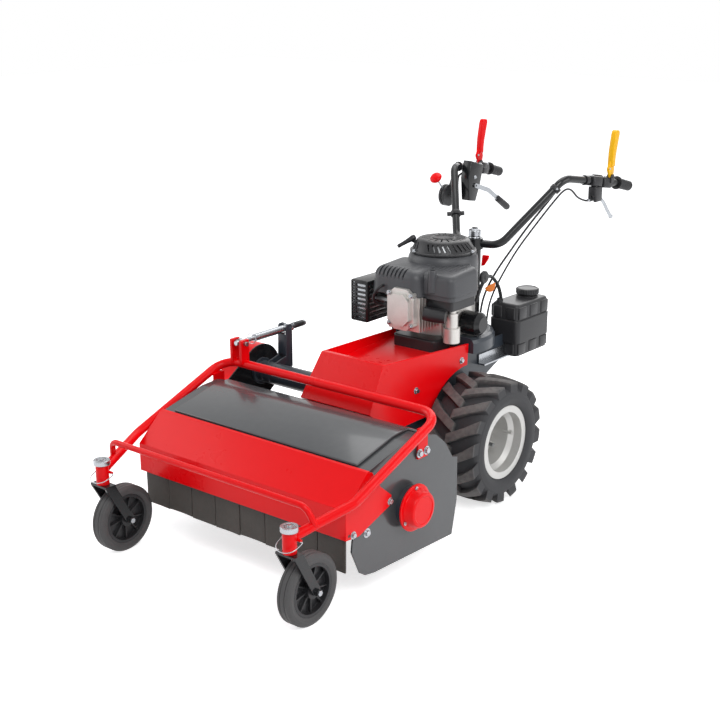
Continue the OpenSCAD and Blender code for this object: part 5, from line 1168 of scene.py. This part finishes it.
class RecoilOperator(bpy.types.Operator):
    """Turn the recoil starter's cover, cut its slanted vents and shape the pull grip"""

    bl_idname = "mower.recoil"
    bl_label = "Recoil starter"

    @staticmethod
    def vents(foot):
        """The cutters of the slanted vents about the side and of the straight ones on the top."""
        around, on_top = 34, 18
        cuts = []
        for k in range(around):
            a = 2 * math.pi * k / around
            if abs(math.sin((a - 0.35) * 1.5)) < 0.16:
                continue  # the wall stays whole in three places
            cut = turned_block("cut", (0.03, 0.0056, 0.027), Vector((0.094, 0, 0.0235)),
                               tilt(-24, "Y") @ tilt(26, "X"), 0.0018)
            cuts.append(set_round(cut, foot, a))
        for k in range(on_top):
            cut = block("cut", (0.042, -0.0024, 0.034), (0.071, 0.0024, 0.05), 0.0012, 2)
            cuts.append(set_round(cut, foot, 2 * math.pi * k / on_top))
        return cuts

    def execute(self, context):
        foot = at(0, 100, 763.5)
        shell = turned("shell", [(0, 0.0385), (0.078, 0.0375), (0.083, 0.034), (0.096, 0.011), (0.099, 0),
                                 (0.108, 0), (0.108, 0.005), (0.103, 0.0065), (0.1, 0.012), (0.086, 0.036),
                                 (0.081, 0.0405), (0.072, 0.0425), (0.05, 0.043), (0, 0.043)], foot, UP, 72)
        carve(shell, self.vents(foot))
        ring = turned("ring", [(0, 0.0425), (0.03, 0.0425), (0.032, 0.0455), (0.036, 0.0455),
                               (0.0375, 0.0425)],
                      foot, UP, 48)
        turns = [2 * math.pi * k / 3 - 2.0 for k in range(3)]
        tabs = [set_round(block("tab", (0.098, -0.011, 0), (0.113, 0.011, 0.007), 0.003), foot, a)
                for a in turns]
        cover = join("recoil_shell", [shell, ring, *tabs])
        wear_finish(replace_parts(cover, "recoil_cover"), "black_plastic", "chassis")
        bolt_r = 0.1075
        bolts = [hex_bolt("bolt", foot + Vector((bolt_r * math.cos(a), bolt_r * math.sin(a), 0.0068)), UP,
                          0.009, 0.005, 0.014) for a in turns]
        wear_finish(join("recoil_bolts", bolts, 30), "zinc", "chassis")
        screen = turned("screen", [(0, 0.006), (0.092, 0.006), (0.0925, 0.009), (0.08, 0.031), (0, 0.033)],
                        foot, UP, 48)
        wear_finish(screen, "steel", "chassis")
        near, far = at(-86, 54, 802), at(-121, 21, 775)
        along = far - near
        length = along.length
        handle = turned("handle", [(0, -0.008), (0.006, -0.0075), (0.0092, -0.004), (0.0098, 0.004),
                                   (0.0082, 0.016), (0.0068, length * 0.6), (0.0062, length * 0.85),
                                   (0.0066, length), (0.005, length + 0.004), (0, length + 0.005)],
                        near, along, 28, 50)
        neck = tube("neck", [at(-78, 62, 786), near + along * 0.2], 0.0062)
        grip = join("pull_handle", [handle, neck], 45)
        wear_finish(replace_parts(grip, "recoil_grip"), "black_plastic", "chassis")
        return {"FINISHED"}


class BonnetOperator(bpy.types.Operator):
    """Fold the bonnet as a tray with standing rims, and stand the engine's base in it"""

    bl_idname = "mower.bonnet"
    bl_label = "Bonnet"

    @staticmethod
    def folded(name, corners):
        """A closed form between two side outlines; each corner is given by y, z and half its width."""
        widest = max(half for _, _, half in corners)
        form = plate(name, [at(-widest, y, z) for y, z, _ in corners], ACROSS * (2 * widest * MM), 0)
        for y, z, half in corners:
            spot = at(0, y, z)
            pick_edges(form, lambda c, d: abs(d.x) > 0.9 and (c - spot).length < 0.004)
            bpy.ops.transform.resize(value=(half / widest, 1, 1), center_override=spot)
        leave_edit()
        return form

    def execute(self, context):
        shell = self.folded("bonnet_shell", ((-454, 377, 137), (-368, 509, 122), (40, 489, 150),
                                             (40, 296, 141), (-330, 296, 141)))
        soften(shell, 0.0022, 3)
        tray = self.folded("tray", ((-352, 468, 118), (-352, 540, 118), (60, 540, 147), (60, 468, 147)))
        hollow = self.folded("hollow", ((-451, 370, 134), (-394, 465, 124), (48, 465, 146), (48, 280, 138.5),
                                        (-328, 280, 138.5)))
        arch = turned("arch", [(0, 0), (0.207, 0), (0.207, 0.4), (0, 0.4)], at(-200, 36, 210), ACROSS, 128)
        rear = block("rear", at(-200, 36, 0), at(200, 243, 417), 0.001, 1)
        bore = turned("bore", [(0, 0), (0.0365, 0), (0.0365, 0.2), (0, 0.2)], at(-200, *CROSS_LINE), ACROSS,
                      64)
        for cutter in (tray, hollow, arch, rear, bore):
            carve(shell, [cutter])
        settle(shell, "bonnet_shell", 30)
        wear_finish(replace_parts(shell, "bonnet"), "red_paint", "chassis")
        base = moulded("engine_base", at(-84, -62, 467), at(88, 36, 506), 0.02, 0.006)
        wear_finish(base, "black_plastic", "chassis")
        return {"FINISHED"}


class GuardOperator(bpy.types.Operator):
    """Bend the muffler's guard as a hollow box with open slots and a meshed front"""

    bl_idname = "mower.guard"
    bl_label = "Muffler guard"

    def execute(self, context):
        shell = block("guard_shell", at(-212, -118, 540), at(-142, 48, 678), 0.006, 4)
        rows, slot_high = [551 + k * 15.2 for k in range(8)], 8.6
        inside = block("cut", at(-209, -115.5, 543), at(-145, 60, 675), 0.003, 2)
        slots = [block("cut", at(-188, -125, z), at(-149, -110, z + slot_high), 0.002, 2) for z in rows]
        slots += [block("cut", at(-150, -104, z), at(-130, 36, z + slot_high), 0.002, 2) for z in rows]
        holes = [block("cut", at(x, -125, z), at(x + 6.4, -110, z + 6.6), 0.001, 1)
                 for z in [546.5 + k * 9.2 for k in range(14)] for x in (-208, -199.5)]
        for cutters in ([inside], slots, holes):
            carve(shell, cutters)
        settle(shell, "guard_shell")
        wear_finish(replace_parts(shell, "muffler_guard"), "black_paint", "chassis")
        skin = block("muffler_skin", at(-207.5, -113.8, 545), at(-147, 42, 673), 0.006)
        wear_finish(skin, "zinc", "chassis")
        return {"FINISHED"}


class BrakeLeverOperator(bpy.types.Operator):
    """Bend the brake lever with its eye and its ball end"""

    bl_idname = "mower.brake_lever"
    bl_label = "Brake lever"

    def execute(self, context):
        x, pivot_y, pivot_z, eye_half = 254, 628, 896, 0.0042
        bends = ((pivot_y, pivot_z), (656, 888), (690, 866), (718, 836), (743, 812))
        arm = run_through("arm", [(x, y, z) for y, z in bends], 0.006, 18)
        ball = turned("ball", [(0, -0.008), (0.004, -0.0069), (0.0069, -0.004), (0.008, 0), (0.0069, 0.004),
                               (0.004, 0.0069), (0, 0.008)], at(x, 746, 810), (0, 0.73, -0.68), 28, 80)
        eye = turned("eye", [(0, -eye_half), (0.0086, -eye_half), (0.0092, -0.0036), (0.0092, 0.0036),
                             (0.0086, eye_half), (0, eye_half)], at(x, pivot_y, pivot_z), ACROSS, 32)
        lever = join("brake_arm", [arm, ball, eye], 50)
        wear_finish(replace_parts(lever, "brake_lever"), "zinc", "lever_brake")
        return {"FINISHED"}


class DeckPanelOperator(bpy.types.Operator):
    """Raise the panel on the deck's top in a shallow arch"""

    bl_idname = "mower.deck_panel"
    bl_label = "Deck panel"

    def execute(self, context):
        rise, margin = 0.0085, 0.036
        _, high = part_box("deck_top")
        front, knee, crest, back = [at(0, y, z) for y, z in ((-787.2, 366.0), (-619.1, 405.4),
                                                             (-552.9, 409.0), (-469.8, 372.9))]
        lower = [front + (knee - front) * 0.07, knee, crest, crest + (back - crest) * 0.75]
        upper = []
        for k, point in enumerate(lower):
            way = lower[min(k + 1, len(lower) - 1)] - lower[max(k - 1, 0)]
            upper.append(point + Vector((0, -way.z, way.y)).normalized() * rise)
        half = high.x - margin
        outline = [Vector((-half, p.y, p.z)) for p in lower + upper[::-1]]
        panel = plate("deck_panel", outline, ACROSS * (2 * half), 0.0034, 4)
        wear_finish(panel, "deck_grey", "chassis")
        return {"FINISHED"}


class SelectorOperator(bpy.types.Operator):
    """Cut the gear selector's slanted box, with its bracket and screw"""

    bl_idname = "mower.selector"
    bl_label = "Gear selector"

    def execute(self, context):
        side = ((516, 990), (594, 968), (574, 900), (548, 843), (508, 850), (500, 930))
        box = plate("box", [at(-214, y, z) for y, z in side], ACROSS * 0.034, 0.0026, 3)
        bracket = block("bracket", at(-240, 540, 946), at(-213, 572, 972), 0.003)
        shell = join("selector_shell", [box, bracket])
        wear_finish(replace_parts(shell, "selector_box"), "black_paint", "bar")
        screw = hex_bolt("selector_screw", at(-180, 540, 930), ACROSS, 0.008, 0.0035, 0.014)
        wear_finish(screw, "zinc", "bar")
        return {"FINISHED"}


class BearingCoverOperator(bpy.types.Operator):
    """Turn the flanged dome over the rotor's bearing"""

    bl_idname = "mower.bearing_cover"
    bl_label = "Bearing cover"

    def execute(self, context):
        cover = turned("bearing_shell", [(0, 0.004), (0.017, 0.004), (0.017, 0), (0.0665, 0), (0.068, 0.0012),
                                         (0.068, 0.0052), (0.0665, 0.0062), (0.0555, 0.0064), (0.054, 0.0085),
                                         (0.0528, 0.029), (0.0495, 0.0338), (0.044, 0.0355), (0.0412, 0.0355),
                                         (0.039, 0.0335), (0, 0.0335)], at(417, *ROTOR_LINE), ACROSS, 72)
        wear_finish(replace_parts(cover, "bearing_cover"), "red_paint", "chassis")
        return {"FINISHED"}


class CrossTubeOperator(bpy.types.Operator):
    """Turn the cross tube with its flange and weld its upright arm on"""

    bl_idname = "mower.cross_tube"
    bl_label = "Cross tube"

    def execute(self, context):
        pieces = [turned("cross", [(0.0129, 0), (0.044, 0), (0.044, 0.008), (0.035, 0.0085), (0.035, 0.288),
                                   (0.0129, 0.288), (0.0129, 0)], at(-402, *CROSS_LINE), ACROSS, 56)]
        arm = ((-266, 533), (-271, 538), (-289, 538), (-294, 533), (-297, 434), (-345, 423), (-381, 400),
               (-381, 370), (-345, 347), (-300, 352), (-266, 396))
        for x in (-373, -341):
            pieces.append(plate("arm", [at(x, y, z) for y, z in arm], ACROSS * 0.006, 0.0014, 3))
        pieces.append(block("web", at(-368, -297, 436), at(-340, -292, 505), 0.001, 2))
        shell = join("cross_tube_shell", pieces)
        wear_finish(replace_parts(shell, "cross_tube"), "chassis_grey", "chassis")
        return {"FINISHED"}


class CableClipsOperator(bpy.types.Operator):
    """Clip the cables to the handlebar with two bolted rings"""

    bl_idname = "mower.cable_clips"
    bl_label = "Cable clips"

    def execute(self, context):
        inner, rim, outer, half = 0.0125, 0.0168, 0.0175, 0.008
        profile = [(inner, -half), (rim, -half), (outer, -0.007), (outer, 0.007), (rim, half), (inner, half),
                   (inner, -half)]
        clips, bolts = [], []
        for middle, side in ((at(204, 447, 940), 1), (at(-133, 358, 831), -1)):
            along = Vector((side * 0.444, 0.555, 0.702))
            turn = bar_turn(Vector((side, -0.6, 0)), along)
            out = turn.col[0].copy()
            clips.append(turned("clip", profile, middle, along, 36))
            for way in (1, -1):
                clips.append(turned_block("ear", (0.016, 0.014, 0.009), middle + out * 0.022 * way, turn,
                                          0.002))
            bolts.append(hex_bolt("clip_bolt", middle + out * 0.024 + turn @ (UP * 0.0044), turn @ UP, 0.008,
                                  0.005, 0))
        wear_finish(join("cable_clips", clips), "black_plastic", "bar")
        wear_finish(join("clip_bolts", bolts, 30), "zinc", "bar")
        return {"FINISHED"}


OPERATORS = (StudioOperator, PaintFrameOperator, TubesOperator, CablesOperator, BoltsOperator,
             CastorHardwareOperator, GripsOperator, CowlingOperator, ThrottleOperator, BarHeadOperator,
             StrutOperator, FuelTapOperator, FlapsOperator, TankOperator, LeversOperator,
             LeverHousingsOperator, RecoilOperator, BonnetOperator, GuardOperator, BrakeLeverOperator,
             DeckPanelOperator, SelectorOperator, BearingCoverOperator, CrossTubeOperator, CableClipsOperator)


class MowerPanel(bpy.types.Panel):
    """Sidebar panel that lists the mower's pieces"""

    bl_idname = "VIEW3D_PT_mower"
    bl_label = "Flail mower"
    bl_space_type = "VIEW_3D"
    bl_region_type = "UI"
    bl_category = "Mower"

    def draw(self, context):
        for operator in OPERATORS:
            self.layout.operator(operator.bl_idname)
        for group in (context.scene.mower_sizes, context.scene.mower_colours):
            box = self.layout.box()
            for name in group.__annotations__:
                box.prop(group, name)


CLASSES = (MowerColours, MowerSizes, *OPERATORS, MowerPanel)


def register():
    for cls in CLASSES:
        bpy.utils.register_class(cls)
    bpy.types.Scene.mower_colours = bpy.props.PointerProperty(type=MowerColours)
    bpy.types.Scene.mower_sizes = bpy.props.PointerProperty(type=MowerSizes)


def unregister():
    del bpy.types.Scene.mower_sizes
    del bpy.types.Scene.mower_colours
    for cls in reversed(CLASSES):
        bpy.utils.unregister_class(cls)


def main():
    register()
    for operator in OPERATORS:
        group, name = operator.bl_idname.split(".")
        getattr(getattr(bpy.ops, group), name)()
    start()


if __name__ == "__main__":
    main()
